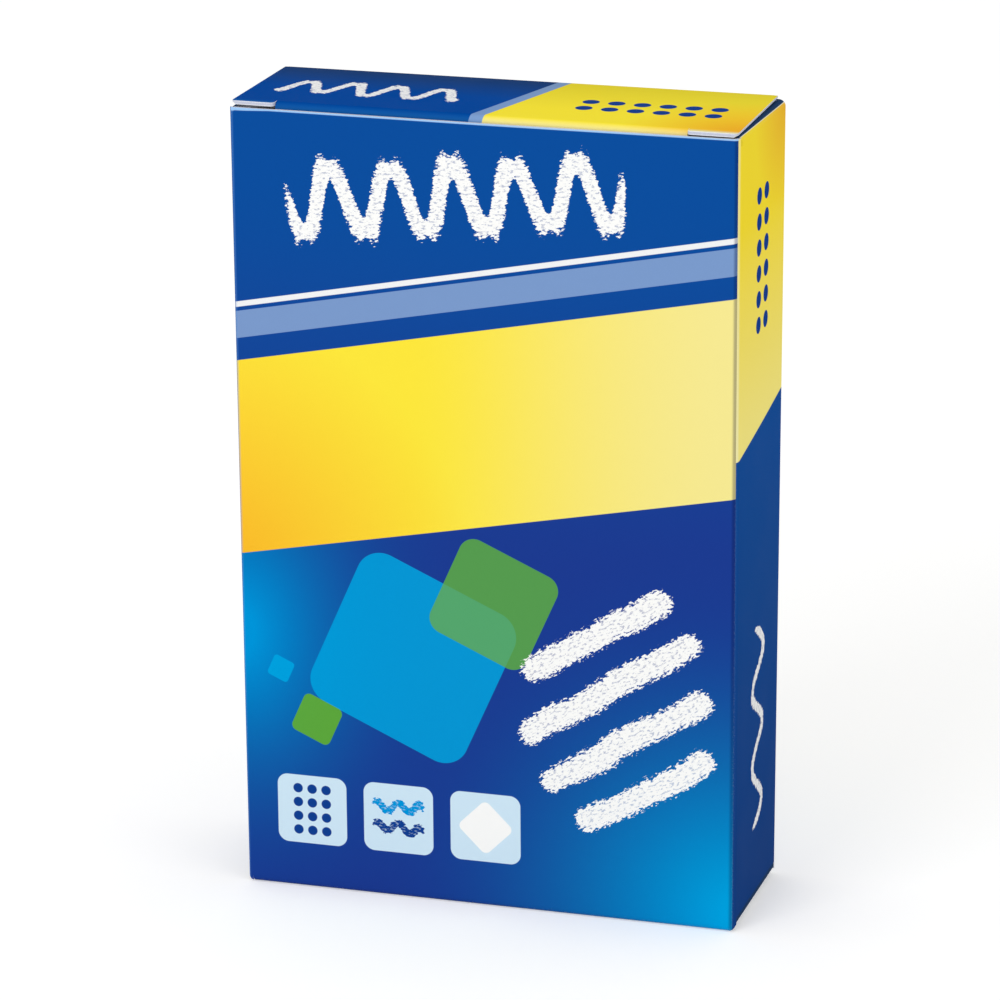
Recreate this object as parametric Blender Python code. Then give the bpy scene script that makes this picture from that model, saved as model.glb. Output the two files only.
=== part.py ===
"""Upright folding carton of round marking crayons.

The carton is one sheet of board: a glued sleeve of four panels, and at each end a lid
with a tuck flap and two dust flaps. Inside, two nested rows of wax crayons stand on
their flat ends, each in a paper wrapper.
Frame: metres, +Z up, the front panel faces -Y, the origin is at the base centre.
"""
import math

import bmesh
import bpy
from mathutils import Matrix, Vector

MM = 0.001

# Crayons, which set the size of the carton
CRAYON_DIAMETER = 11.0 * MM
CRAYON_LENGTH = 110.0 * MM
CRAYON_GAP = 0.3 * MM
CRAYONS_PER_ROW = 6
CRAYON_SIDES = 32
CONE_LENGTH = 8.2 * MM
TIP_RADIUS = 1.5 * MM
TIP_ROUND = 0.6 * MM
BARE_LENGTH = 5.5 * MM
BASE_CHAMFER = 0.5 * MM

# Paper wrapper
PAPER = 0.2 * MM
PAPER_GAP = 0.15 * MM
WRAPPER_FOOT = 4.0 * MM

# Board and its folds
BOARD = 0.55 * MM
FOLD_INNER = 0.35 * MM
FOLD_STEPS = 4
CLEARANCE = 0.3 * MM
CREASE_OFFSET = 0.08 * MM
CUT_BEVEL = 0.2 * MM

# Room left round the crayons
SIDE_PLAY = 0.35 * MM
FRONT_PLAY = 0.7 * MM
HEADROOM = 6.9 * MM

# Lid and the slits at the ends of its tuck fold
LID_SIDE_PLAY = 0.4 * MM
LID_SEAT = 0.4 * MM
LID_TAB_SETBACK = 0.3 * MM
SLIT_LENGTH = 7.3 * MM
SLIT_WIDTH = 0.3 * MM

# Tuck flap
TUCK_GAP = 0.35 * MM
TUCK_LENGTH = 10.0 * MM
TUCK_SIDE_PLAY = 0.3 * MM
TUCK_CORNER = 5.0 * MM
TUCK_LEAN = math.radians(5.2)

# Dust flaps
DUST_LENGTH = 21.0 * MM
DUST_FRONT_PLAY = 0.95 * MM
DUST_FRONT_TAPER = math.radians(7)
DUST_BACK_PLAY = 0.75 * MM
DUST_BACK_TAPER = math.radians(24.5)
DUST_CORNER = 3.0 * MM
CORNER_STEPS = 4

# Glue flap, a second layer inside the left panel
GLUE_WIDTH = 11.0 * MM
GLUE_END = 14.0 * MM

# Colours as linear red, green, blue
PRINT_BLUE = (0.010, 0.065, 0.330)
PRINT_DEEP_BLUE = (0.012, 0.045, 0.190)
WRAPPER_BLUE = (0.018, 0.035, 0.260)
WAX_WHITE = (0.850, 0.840, 0.790)

# Roughness of each surface
PRINT_ROUGHNESS = 0.35
FLAP_ROUGHNESS = 0.4
WAX_ROUGHNESS = 0.5
PAPER_ROUGHNESS = 0.6

# The rows nest, so each crayon touches two of the other row
CRAYON_PITCH = CRAYON_DIAMETER + CRAYON_GAP
ROW_PITCH = CRAYON_PITCH * math.sqrt(3) / 2
ROW_SPAN = CRAYON_PITCH * (CRAYONS_PER_ROW - 0.5)

# The lower tuck flap stands behind the back row
TUCK_ROOM = TUCK_GAP + BOARD + TUCK_LENGTH * math.sin(TUCK_LEAN) + CLEARANCE

# Carton, outside sizes
FOLD_RADIUS = FOLD_INNER + BOARD
CLOSED_END = 2 * BOARD + CLEARANCE
CRAYON_BASE = CLOSED_END + CLEARANCE
CARTON_WIDTH = ROW_SPAN + CRAYON_DIAMETER + 2 * SIDE_PLAY + 3 * BOARD
CARTON_DEPTH = ROW_PITCH + CRAYON_DIAMETER + FRONT_PLAY + TUCK_ROOM + 2 * BOARD
CARTON_HEIGHT = CRAYON_BASE + CRAYON_LENGTH + HEADROOM + CLOSED_END
HALF_WIDTH = CARTON_WIDTH / 2
HALF_DEPTH = CARTON_DEPTH / 2

# Heights of the cut edges of the sleeve at its upper end
DUST_TOP = CARTON_HEIGHT - BOARD - CLEARANCE
SIDE_TOP = DUST_TOP - FOLD_RADIUS - CLEARANCE
HINGE_TOP = CARTON_HEIGHT - FOLD_RADIUS - CLEARANCE
FRONT_TOP = CARTON_HEIGHT - BOARD - LID_SEAT

# The upper closure turned half a turn gives the lower one
END_TURN = Matrix.Translation((0, 0, CARTON_HEIGHT)) @ Matrix.Rotation(math.pi, 4, "X")

WELD = 1e-7


def clear_scene():
    """Remove every object left in the file."""
    for old in list(bpy.data.objects):
        bpy.data.objects.remove(old, do_unlink=True)


def make_material(name, colour, roughness):
    """Principled material of one colour."""
    material = bpy.data.materials.new(name)
    material.use_nodes = True
    shader = material.node_tree.nodes["Principled BSDF"]
    shader.inputs["Base Color"].default_value = (*colour, 1.0)
    shader.inputs["Roughness"].default_value = roughness
    shader.inputs["Metallic"].default_value = 0.0
    return material


def add_node(name, shape, pivot, colour, roughness):
    """Turn a bmesh in carton coordinates into an object with its origin at pivot."""
    bmesh.ops.recalc_face_normals(shape, faces=shape.faces)
    bmesh.ops.translate(shape, verts=shape.verts, vec=-Vector(pivot))
    mesh = bpy.data.meshes.new(name)
    shape.to_mesh(mesh)
    shape.free()
    node = bpy.data.objects.new(name, mesh)
    node.location = pivot
    bpy.context.scene.collection.objects.link(node)
    mesh.materials.append(make_material(name, colour, roughness))
    return node


def sheet(cells):
    """Closed board from cells. A cell is a ring of (outer, inner) point pairs."""
    shape = bmesh.new()
    corners = {}
    rims = {}

    def corner(point):
        key = tuple(round(value / WELD) for value in point)
        if key not in corners:
            corners[key] = shape.verts.new(point)
        return corners[key]

    for cell in cells:
        outer = [corner(pair[0]) for pair in cell]
        inner = [corner(pair[1]) for pair in cell]
        shape.faces.new(outer)
        shape.faces.new(list(reversed(inner)))
        for here in range(len(cell)):
            there = (here + 1) % len(cell)
            edge = frozenset((outer[here], outer[there]))
            rims.setdefault(edge, []).append((outer[there], outer[here], inner[here], inner[there]))
    for quads in rims.values():
        if len(quads) == 1:
            shape.faces.new(quads[0])
    return shape


def strip_cells(path, places, place_point):
    """Cells of a strip: path is a list of (outer, inner) pairs in the plane of the fold."""
    cells = []
    for first, second in zip(path, path[1:]):
        for low, high in zip(places, places[1:]):
            ring = ((first, low), (second, low), (second, high), (first, high))
            cells.append([tuple(place_point(flat, place) for flat in pair) for pair, place in ring])
    return cells


def fold(centre, start, turn):
    """Quarter fold as (outer, inner) pairs about centre, from angle start through turn."""
    pairs = []
    for step in range(FOLD_STEPS + 1):
        angle = start + turn * step / FOLD_STEPS
        way = Vector((math.cos(angle), math.sin(angle)))
        pairs.append((centre + FOLD_RADIUS * way, centre + FOLD_INNER * way))
    return pairs


def rounded(points, radii):
    """Outline of a flat polygon with its corners rounded."""
    outline = []
    count = len(points)
    for index, radius in enumerate(radii):
        corner = Vector(points[index])
        if radius == 0:
            outline.append(corner)
            continue
        before = (Vector(points[index - 1]) - corner).normalized()
        after = (Vector(points[(index + 1) % count]) - corner).normalized()
        half = before.angle(after) / 2
        centre = corner + (before + after).normalized() * radius / math.sin(half)
        first = corner + before * radius / math.tan(half) - centre
        last = corner + after * radius / math.tan(half) - centre
        for step in range(CORNER_STEPS + 1):
            share = step / CORNER_STEPS
            outline.append(centre + radius * first.normalized().slerp(last.normalized(), share))
    return outline


def sleeve_stations():
    """Corner stations round the sleeve, from the front right, seen from above."""
    stations = []
    quarters = ((1, -1, -90), (1, 1, 0), (-1, 1, 90), (-1, -1, 180))
    for side, face, start in quarters:
        centre = Vector((side * (HALF_WIDTH - FOLD_RADIUS), face * (HALF_DEPTH - FOLD_RADIUS)))
        stations.append(fold(centre, math.radians(start), math.pi / 2))
    return stations


def build_sleeve():
    """Four panels in one tube, with the glue flap doubling part of the left panel."""
    right_front, right_back, left_back, left_front = sleeve_stations()
    low = {
        "front": CARTON_HEIGHT - HINGE_TOP,
        "side": CARTON_HEIGHT - SIDE_TOP,
        "back": CARTON_HEIGHT - FRONT_TOP,
    }
    high = {"front": FRONT_TOP, "side": SIDE_TOP, "back": HINGE_TOP}
    glue_low = GLUE_END
    glue_high = CARTON_HEIGHT - GLUE_END
    levels = set(low.values()) | set(high.values())
    levels |= {glue_low, glue_low + CUT_BEVEL, glue_high - CUT_BEVEL, glue_high}
    levels = sorted(levels)

    # Each span runs between two neighbouring stations: start, end, foot, head
    spans = []

    def add_run(pairs, foot, head):
        for first, second in zip(pairs, pairs[1:]):
            spans.append((first, second, foot, head))

    glue_start = left_back[-1]
    along = Vector((0, -1))
    glue_steps = (0, CUT_BEVEL, GLUE_WIDTH - CUT_BEVEL, GLUE_WIDTH)
    glue_run = [tuple(flat + along * step for flat in glue_start) for step in glue_steps]
    add_run([left_front[-1], right_front[0]], low["front"], high["front"])
    add_run(right_front, low["side"], high["front"])
    add_run([right_front[-1], right_back[0]], low["side"], high["side"])
    add_run(right_back, low["back"], high["side"])
    add_run([right_back[-1], left_back[0]], low["back"], high["back"])
    add_run(left_back, low["back"], high["side"])
    add_run(glue_run + [left_front[0]], low["side"], high["side"])
    add_run(left_front, low["side"], high["front"])

    doubled = {tuple(glue_run[1][0]), tuple(glue_run[2][0])}

    def place(pair, level):
        outer, inner = pair
        inside = glue_low + CUT_BEVEL / 2 < level < glue_high - CUT_BEVEL / 2
        if inside and tuple(outer) in doubled:
            inner = inner + Vector((BOARD, 0))
        return (outer.x, outer.y, level), (inner.x, inner.y, level)

    cells = []
    for first, second, foot, head in spans:
        for base, top in zip(levels, levels[1:]):
            if base >= foot - WELD and top <= head + WELD:
                corners = ((first, base), (second, base), (second, top), (first, top))
                cells.append([place(pair, level) for pair, level in corners])
    add_node("carton_sleeve", sheet(cells), (0, 0, 0), PRINT_BLUE, PRINT_ROUGHNESS)


def turned(shape, pivot, lower):
    """Move a shape and its pivot to the lower end if asked."""
    if not lower:
        return Vector(pivot)
    bmesh.ops.transform(shape, matrix=END_TURN, verts=shape.verts)
    return END_TURN @ Vector(pivot)


def build_lid(name, lower):
    """Lid with its hinge fold, its tuck fold between the slits, and a tab outside each slit."""
    hinge_centre = Vector((HALF_DEPTH - FOLD_RADIUS, CARTON_HEIGHT - FOLD_RADIUS))
    tuck_face = -HALF_DEPTH + BOARD + TUCK_GAP
    tuck_centre = Vector((tuck_face + FOLD_RADIUS, CARTON_HEIGHT - FOLD_RADIUS))
    half_lid = HALF_WIDTH - LID_SIDE_PLAY
    half_slit = HALF_WIDTH - SLIT_LENGTH
    half_fold = half_slit - SLIT_WIDTH
    places = [-half_lid, -half_slit, -half_fold, half_fold, half_slit, half_lid]

    def place(flat, x):
        return (x, flat.x, flat.y)

    back = fold(hinge_centre, 0, math.pi / 2)
    front = fold(tuck_centre, math.pi / 2, math.pi / 2)
    tab_edge = -HALF_DEPTH + LID_TAB_SETBACK
    tab = [front[0], tuple(Vector((tab_edge, flat.y)) for flat in front[0])]
    cells = strip_cells(back + [front[0]], places, place)
    cells += strip_cells(front, places[2:4], place)
    cells += strip_cells(tab, places[:2], place)
    cells += strip_cells(tab, places[4:], place)
    shape = sheet(cells)
    pivot = turned(shape, (0, HALF_DEPTH + CREASE_OFFSET, HINGE_TOP + CLEARANCE / 2), lower)
    add_node(name, shape, pivot, PRINT_BLUE, PRINT_ROUGHNESS)


def build_tuck(name, lower):
    """Tuck flap behind the front panel, leaning inwards, with rounded corners."""
    face = -HALF_DEPTH + BOARD + TUCK_GAP
    half_tuck = HALF_WIDTH - FOLD_RADIUS - TUCK_SIDE_PLAY
    foot = HINGE_TOP - TUCK_LENGTH
    points = [(-half_tuck, HINGE_TOP), (-half_tuck, foot), (half_tuck, foot), (half_tuck, HINGE_TOP)]
    outline = rounded(points, (0, TUCK_CORNER, TUCK_CORNER, 0))
    cell = [((flat.x, face, flat.y), (flat.x, face + BOARD, flat.y)) for flat in outline]
    shape = sheet([cell])
    axis = Vector((0, face + BOARD + CREASE_OFFSET, HINGE_TOP + CLEARANCE / 2))
    lean = Matrix.Rotation(TUCK_LEAN, 3, "X")
    bmesh.ops.rotate(shape, cent=axis, matrix=lean, verts=shape.verts)
    pivot = turned(shape, axis, lower)
    add_node(name, shape, pivot, PRINT_DEEP_BLUE, FLAP_ROUGHNESS)


def build_dust(name, side, lower):
    """Dust flap hinged on a side panel; its back edge tapers to stay clear of the rising lid."""
    root = HALF_WIDTH - FOLD_RADIUS
    centre = Vector((root, DUST_TOP - FOLD_RADIUS))
    front = -HALF_DEPTH + 2 * BOARD + TUCK_GAP + DUST_FRONT_PLAY
    back = HALF_DEPTH - BOARD - DUST_BACK_PLAY
    strip_front = -HALF_DEPTH + FOLD_RADIUS + CLEARANCE
    end = root - DUST_LENGTH

    def place(flat, y):
        return (side * flat.x, y, flat.y)

    bend = fold(centre, 0, math.pi / 2)
    cells = strip_cells(bend, [strip_front, front, back], place)
    points = [
        (root, front),
        (end, front + DUST_LENGTH * math.tan(DUST_FRONT_TAPER)),
        (end, back - DUST_LENGTH * math.tan(DUST_BACK_TAPER)),
        (root, back),
    ]
    outline = rounded(points, (0, DUST_CORNER, DUST_CORNER, 0))
    heights = (DUST_TOP, DUST_TOP - BOARD)
    cells.append([tuple((side * flat.x, flat.y, height) for height in heights) for flat in outline])
    shape = sheet(cells)
    axis = (side * (HALF_WIDTH + CREASE_OFFSET), 0, SIDE_TOP + CLEARANCE / 2)
    pivot = turned(shape, axis, lower)
    add_node(name, shape, pivot, PRINT_DEEP_BLUE, FLAP_ROUGHNESS)


def revolve(profile):
    """Solid of revolution about Z from (radius, height) pairs, closed at radius zero."""
    shape = bmesh.new()
    rings = []
    for radius, height in profile:
        if radius == 0:
            rings.append([shape.verts.new((0, 0, height))])
            continue
        ring = []
        for step in range(CRAYON_SIDES):
            angle = math.tau * step / CRAYON_SIDES
            ring.append(shape.verts.new((radius * math.cos(angle), radius * math.sin(angle), height)))
        rings.append(ring)
    for lower, upper in zip(rings, rings[1:]):
        for step in range(CRAYON_SIDES):
            after = (step + 1) % CRAYON_SIDES
            if len(lower) == 1:
                shape.faces.new((lower[0], upper[after], upper[step]))
            elif len(upper) == 1:
                shape.faces.new((lower[step], lower[after], upper[0]))
            else:
                shape.faces.new((lower[step], lower[after], upper[after], upper[step]))
    return shape


def wax_profile():
    """Outline of the bare wax stick from its flat base to its blunt point."""
    radius = CRAYON_DIAMETER / 2 - PAPER - PAPER_GAP
    shoulder = CRAYON_LENGTH - CONE_LENGTH
    return [
        (0, 0),
        (radius - BASE_CHAMFER, 0),
        (radius, BASE_CHAMFER),
        (radius, shoulder),
        (TIP_RADIUS, CRAYON_LENGTH - TIP_ROUND),
        (TIP_RADIUS - TIP_ROUND, CRAYON_LENGTH),
        (0, CRAYON_LENGTH),
    ]


def wrapper_profile():
    """Closed outline of the paper tube, with the first point repeated."""
    outer = CRAYON_DIAMETER / 2
    inner = outer - PAPER
    top = CRAYON_LENGTH - CONE_LENGTH - BARE_LENGTH
    return [(inner, WRAPPER_FOOT), (outer, WRAPPER_FOOT), (outer, top), (inner, top), (inner, WRAPPER_FOOT)]


def build_crayon(number, x, y):
    """One wax stick and its wrapper, standing on the lower dust flaps."""
    place = (x, y, CRAYON_BASE)
    for name, profile, colour, roughness in (
        ("crayon_wax", wax_profile(), WAX_WHITE, WAX_ROUGHNESS),
        ("crayon_wrapper", wrapper_profile(), WRAPPER_BLUE, PAPER_ROUGHNESS),
    ):
        shape = revolve(profile)
        bmesh.ops.remove_doubles(shape, verts=shape.verts, dist=WELD)
        bmesh.ops.translate(shape, verts=shape.verts, vec=place)
        add_node(f"{name}_{number:02d}", shape, place, colour, roughness)


def build_crayons():
    """Two nested rows, the back row shifted by half a pitch."""
    first_x = -HALF_WIDTH + 2 * BOARD + SIDE_PLAY + CRAYON_DIAMETER / 2
    front_y = -HALF_DEPTH + BOARD + FRONT_PLAY + CRAYON_DIAMETER / 2
    for row in range(2):
        for place in range(CRAYONS_PER_ROW):
            x = first_x + CRAYON_PITCH * (place + row / 2)
            build_crayon(row * CRAYONS_PER_ROW + place + 1, x, front_y + row * ROW_PITCH)


clear_scene()
build_sleeve()
for end, lower in (("top", False), ("bottom", True)):
    build_lid(f"{end}_lid", lower)
    build_tuck(f"{end}_tuck_flap", lower)
    build_dust(f"{end}_dust_flap_left", -1, lower)
    build_dust(f"{end}_dust_flap_right", 1, lower)
build_crayons()
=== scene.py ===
# %% [markdown]
# # A folding carton of marking crayons
# The object is a small upright carton of printed board. A lid that tucks in closes each end, and twelve
# wax crayons stand inside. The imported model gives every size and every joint, so the lesson starts by
# loading it as a fixed frame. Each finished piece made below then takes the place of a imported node.

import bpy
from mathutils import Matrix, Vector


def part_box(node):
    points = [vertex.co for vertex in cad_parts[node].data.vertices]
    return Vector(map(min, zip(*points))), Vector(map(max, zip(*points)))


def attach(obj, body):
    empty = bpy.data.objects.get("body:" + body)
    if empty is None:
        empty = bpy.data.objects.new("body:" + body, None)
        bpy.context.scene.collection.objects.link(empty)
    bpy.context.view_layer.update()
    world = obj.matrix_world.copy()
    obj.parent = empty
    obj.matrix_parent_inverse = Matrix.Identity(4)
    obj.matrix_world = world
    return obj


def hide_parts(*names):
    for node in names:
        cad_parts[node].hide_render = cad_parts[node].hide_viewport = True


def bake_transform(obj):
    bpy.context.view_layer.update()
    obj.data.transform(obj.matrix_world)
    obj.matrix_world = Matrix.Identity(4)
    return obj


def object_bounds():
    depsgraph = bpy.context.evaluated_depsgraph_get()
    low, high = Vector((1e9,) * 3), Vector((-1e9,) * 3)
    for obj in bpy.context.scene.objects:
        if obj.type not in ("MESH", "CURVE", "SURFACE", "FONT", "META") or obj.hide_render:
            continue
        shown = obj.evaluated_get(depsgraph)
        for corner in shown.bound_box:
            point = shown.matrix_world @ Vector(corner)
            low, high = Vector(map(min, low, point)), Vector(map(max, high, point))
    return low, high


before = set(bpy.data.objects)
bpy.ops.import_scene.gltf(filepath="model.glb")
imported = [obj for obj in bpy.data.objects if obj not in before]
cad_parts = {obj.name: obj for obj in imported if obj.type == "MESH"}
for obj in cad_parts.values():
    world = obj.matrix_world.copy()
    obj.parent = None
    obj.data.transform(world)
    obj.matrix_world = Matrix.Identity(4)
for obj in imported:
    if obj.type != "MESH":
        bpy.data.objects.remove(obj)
cad_low, cad_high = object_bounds()
print("packed box, mm:", [round(1000 * size, 2) for size in cad_high - cad_low])

# %% [markdown]
# ## Two small helpers
# Inks and boards are matched on a screen, so colours are easiest to write as sRGB hex values. A
# shader works in linear light, so one function converts them. A second function adds one node, sets it
# up and links it, and it serves shader trees and geometry trees alike.

# %% Colour and node helpers
import math
import random
from collections import namedtuple

import bmesh
import bpy
from mathutils import Matrix, Vector

MM = 0.001
NODE_FAMILIES = ("ShaderNode", "GeometryNode", "Node")


def linear(hex_colour):
    """An sRGB hex colour as linear red, green, blue and alpha."""
    shares = [int(hex_colour[start:start + 2], 16) / 255 for start in (1, 3, 5)]
    return *(c / 12.92 if c <= 0.04045 else ((c + 0.055) / 1.055) ** 2.4 for c in shares), 1.0


def add_node(tree, kind, inputs=(), **settings):
    """One new node, its kind written without the family name in front. Inputs go by place or by name, and
    each is a plain value, a hex colour, a socket to link, or a node whose first output is linked."""
    family = next(name for name in NODE_FAMILIES if hasattr(bpy.types, name + kind))
    node = tree.nodes.new(family + kind)
    for name, value in settings.items():
        setattr(node, name, value)
    for key, value in inputs.items() if isinstance(inputs, dict) else enumerate(inputs):
        if isinstance(value, bpy.types.Node):
            value = value.outputs[0]
        if isinstance(value, bpy.types.NodeSocket):
            tree.links.new(value, node.inputs[key])
        else:
            node.inputs[key].default_value = linear(value) if isinstance(value, str) else value
    return node


print("white as linear light:", linear("#FFFFFF"))

# %% [markdown]
# ## The camera
# The photograph shows the front, the top and a little of the right side. The corners of the carton in it
# give the angles, the distance and the long lens. A camera can be aimed with a constraint, but written
# axes also hold the slight roll, and they leave nothing behind that would act in another view.

# %% Camera
CAMERA_YAW = math.radians(16.98)
CAMERA_PITCH = math.radians(17.73)
CAMERA_ROLL = math.radians(-0.51)
CAMERA_DISTANCE = 727.0 * MM
CAMERA_LENS = 178.0
AIM_RIGHT = -1.30 * MM
AIM_UP = -0.45 * MM

scene = bpy.context.scene
middle = (cad_low + cad_high) / 2
back = Vector((
    math.sin(CAMERA_YAW) * math.cos(CAMERA_PITCH),
    -math.cos(CAMERA_YAW) * math.cos(CAMERA_PITCH),
    math.sin(CAMERA_PITCH),
))
level = Vector((math.cos(CAMERA_YAW), math.sin(CAMERA_YAW), 0))
upright = back.cross(level)
right = level * math.cos(CAMERA_ROLL) + upright * math.sin(CAMERA_ROLL)
axes = Matrix((right, back.cross(right), back)).transposed()
aim = middle + level * AIM_RIGHT + upright * AIM_UP

camera = bpy.data.objects.new("camera", bpy.data.cameras.new("camera"))
camera.data.lens = CAMERA_LENS
camera.matrix_world = Matrix.Translation(aim + back * CAMERA_DISTANCE) @ axes.to_4x4()
scene.collection.objects.link(camera)
scene.camera = camera
print("camera at, mm:", [round(value / MM, 1) for value in camera.location])

# %% [markdown]
# ## Soft studio light and a white ground
# Packaging is photographed in a tent of white cloth with large lamps, so the light comes from all round
# and a little more from the front. An even world does the tent's work and two large area lamps add the
# direction. Only rays from the camera, and the mirror-like ones, see the world as full white.

# %% Tent
TENT_LIGHT = 0.74


def seen_share(tree):
    """1 for a ray that looks, from the camera or by a mirror or glass, and 0 for a ray that only lights."""
    ray = add_node(tree, "LightPath").outputs
    seen = add_node(tree, "Math", (ray["Is Camera Ray"], ray["Is Glossy Ray"]), operation="MAXIMUM")
    return add_node(tree, "Math", (seen, ray["Is Transmission Ray"]), operation="MAXIMUM")


scene.view_settings.view_transform = "Standard"
scene.world = bpy.data.worlds.new("white_tent")
scene.world.use_nodes = True
tent = scene.world.node_tree
tent.nodes.clear()
strength = add_node(tent, "MapRange", {"Value": seen_share(tent), "To Min": TENT_LIGHT, "To Max": 1.0})
sky = add_node(tent, "Background", {"Color": "#FFFFFF", "Strength": strength})
add_node(tent, "OutputWorld", {"Surface": sky})
print("tent light:", TENT_LIGHT)

# %% Lamps
# Each lamp: name, place and size in metres, and power in watts
for name, place, size, power in (
    ("front_lamp", (-0.55, -1.35, 0.75), 0.9, 7.2),
    ("side_lamp", (1.35, -0.65, 0.55), 0.7, 1.6),
):
    lamp = bpy.data.lights.new(name, "AREA")
    lamp.size = size
    lamp.energy = power
    holder = bpy.data.objects.new(name, lamp)
    holder.location = place
    holder.rotation_euler = (Vector(place) - middle).to_track_quat("Z", "Y").to_euler()
    scene.collection.objects.link(holder)
    print(name, "stands off by, m:", round((Vector(place) - middle).length, 2))

# %% [markdown]
# ## The floor
# The carton stands on a sheet of white paper. A plain white surface would render light grey, because it
# only returns the light that falls on it. A little emission, which only the camera and reflections see,
# lifts it to white, and the surface below still takes the shadow of the carton.

# %% Floor
FLOOR_SIZE = 6.0
FLOOR_LIFT = 0.30


def open_material(name):
    """A material with an empty node tree, and that tree."""
    material = bpy.data.materials.new(name)
    material.use_nodes = True
    material.node_tree.nodes.clear()
    return material, material.node_tree


paper_ground, tree = open_material("white_paper_ground")
lift = add_node(tree, "Math", (seen_share(tree), FLOOR_LIFT), operation="MULTIPLY")
glow = add_node(tree, "Emission", {"Color": "#FFFFFF", "Strength": lift})
matt = add_node(tree, "BsdfDiffuse", {"Color": "#F2F2F1"})
both = add_node(tree, "AddShader", (matt, glow))
add_node(tree, "OutputMaterial", {"Surface": both})

half = FLOOR_SIZE / 2
floor_mesh = bpy.data.meshes.new("floor")
corners = [(-half, -half, 0), (half, -half, 0), (half, half, 0), (-half, half, 0)]
floor_mesh.from_pydata(corners, [], [range(4)])
floor_mesh.materials.append(paper_ground)
floor = bpy.data.objects.new("floor", floor_mesh)
scene.collection.objects.link(floor)
print("floor, m:", FLOOR_SIZE)

# %% [markdown]
# ## Sizes of the carton
# The carton is one die-cut sheet, so a few sizes of the board and its creases rule every panel. The
# outer sizes come from the frame. Each point of the sheet also has a place on the flat blank, u along the
# four panels and v up them, and the print below is laid out on that blank, as it is at the printer's.

# %% Sizes read from the frame
BOARD = 0.55 * MM
FOLD_INNER = 0.35 * MM
FOLD_RADIUS = FOLD_INNER + BOARD
CREASE_GAP = 0.3 * MM

_, sleeve_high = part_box("carton_sleeve")
lid_low, lid_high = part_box("top_lid")
dust_low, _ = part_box("top_dust_flap_right")
HALF_WIDTH = sleeve_high.x
HALF_DEPTH = sleeve_high.y
HEIGHT = lid_high.z
FRONT_TOP = sleeve_high.z
HINGE_TOP = HEIGHT - FOLD_RADIUS - CREASE_GAP
SIDE_TOP = dust_low.z - CREASE_GAP

# Places on the flat blank, with u = 0 in the middle of the front panel
FOLD_RUN = math.pi / 2 * (FOLD_RADIUS + FOLD_INNER) / 2
CREASE_MIDDLE = CREASE_GAP + FOLD_RUN / 2
SIDE_MIDDLE = HALF_WIDTH + HALF_DEPTH
BACK_MIDDLE = 2 * HALF_WIDTH + 2 * HALF_DEPTH
BLANK_MAP = "blank"
print("carton, mm:", [round(2 * value / MM, 2) for value in (HALF_WIDTH, HALF_DEPTH, HEIGHT / 2)])

# %% [markdown]
# ## Ink shapes
# Offset inks lie on the white coated board in flat shapes with crisp edges. An image texture could hold
# such a print, but shapes from formulas stay sharp at any distance. Three node groups draw every shape:
# a block with rounded corners, a stroke of a crayon, and a grid of dots. Each takes the print below it
# and returns it with one more ink, so a design is a chain of them. Lengths in the groups are in mm.

# %% Frame that the ink shapes share
INK_EDGE = 0.05


def open_ink_group(name, sizes):
    """A new group with the sockets of every ink shape and those of its own sizes, its given values, and the
    place from the middle of the shape."""
    tree = bpy.data.node_groups.new(name, "ShaderNodeTree")
    sockets = {"Place": "Vector", "Under": "Color", "Ink": "Color", "Cover": "Float", "Centre": "Vector",
               "Turn": "Float", **sizes}
    for socket, kind in sockets.items():
        tree.interface.new_socket(socket, in_out="INPUT", socket_type=f"NodeSocket{kind}")
    tree.interface.new_socket("Print", in_out="OUTPUT", socket_type="NodeSocketColor")
    given = add_node(tree, "GroupInput").outputs
    turned = add_node(tree, "VectorRotate", {
        "Vector": given["Place"], "Center": given["Centre"], "Angle": given["Turn"]}, rotation_type="Z_AXIS")
    local = add_node(tree, "VectorMath", (turned, given["Centre"]), operation="SUBTRACT")
    return tree, given, local


def close_ink_group(tree, given, distance, cover):
    """Lay the ink where the distance to the shape's outline is negative."""
    mask = add_node(tree, "MapRange", {
        "Value": distance, "From Min": INK_EDGE, "From Max": -INK_EDGE, "To Max": cover},
        interpolation_type="SMOOTHSTEP")
    mix = add_node(tree, "Mix", {0: mask, 6: given["Under"], 7: given["Ink"]}, data_type="RGBA")
    add_node(tree, "GroupOutput", {"Print": mix.outputs[2]})
    print(tree.name, "nodes:", len(tree.nodes))


print("ink edges are blurred over, mm:", 2 * INK_EDGE)

# %% Block with rounded corners
ink_block, given, local = open_ink_group("ink_block", {"Half Size": "Vector", "Corner": "Float"})
beyond = local
for operation, *size in (("ABSOLUTE",), ("SUBTRACT", given["Half Size"]), ("ADD", given["Corner"])):
    beyond = add_node(ink_block, "VectorMath", (beyond, *size), operation=operation)
part = add_node(ink_block, "SeparateXYZ", (beyond,)).outputs
inside = add_node(ink_block, "Math", (part["X"], part["Y"]), operation="MAXIMUM")
inside = add_node(ink_block, "Math", (inside, 0.0), operation="MINIMUM")
for operation, *size in (("MAXIMUM", (0, 0, 0)), ("MULTIPLY", (1, 1, 0)), ("LENGTH",)):
    beyond = add_node(ink_block, "VectorMath", (beyond, *size), operation=operation)
distance = add_node(ink_block, "Math", (beyond.outputs["Value"], inside), operation="ADD")
distance = add_node(ink_block, "Math", (distance, given["Corner"]), operation="SUBTRACT")
close_ink_group(ink_block, given, distance, given["Cover"])

# %% [markdown]
# A stroke of the crayon is drawn as a wavy line of soft width, which a slow noise makes a little unsteady,
# as a hand is. Wax on a rough wall skips the hollows, so fine noise eats into the edges of the stroke and
# leaves small gaps in it. With no height the wave is a straight stroke. The grit is a third of a
# millimetre, coarser than on real wax, so that it shows at arm's length.

# %% Line of a stroke
WOBBLE = 0.9
WOBBLE_SIZE = 9.0

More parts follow.
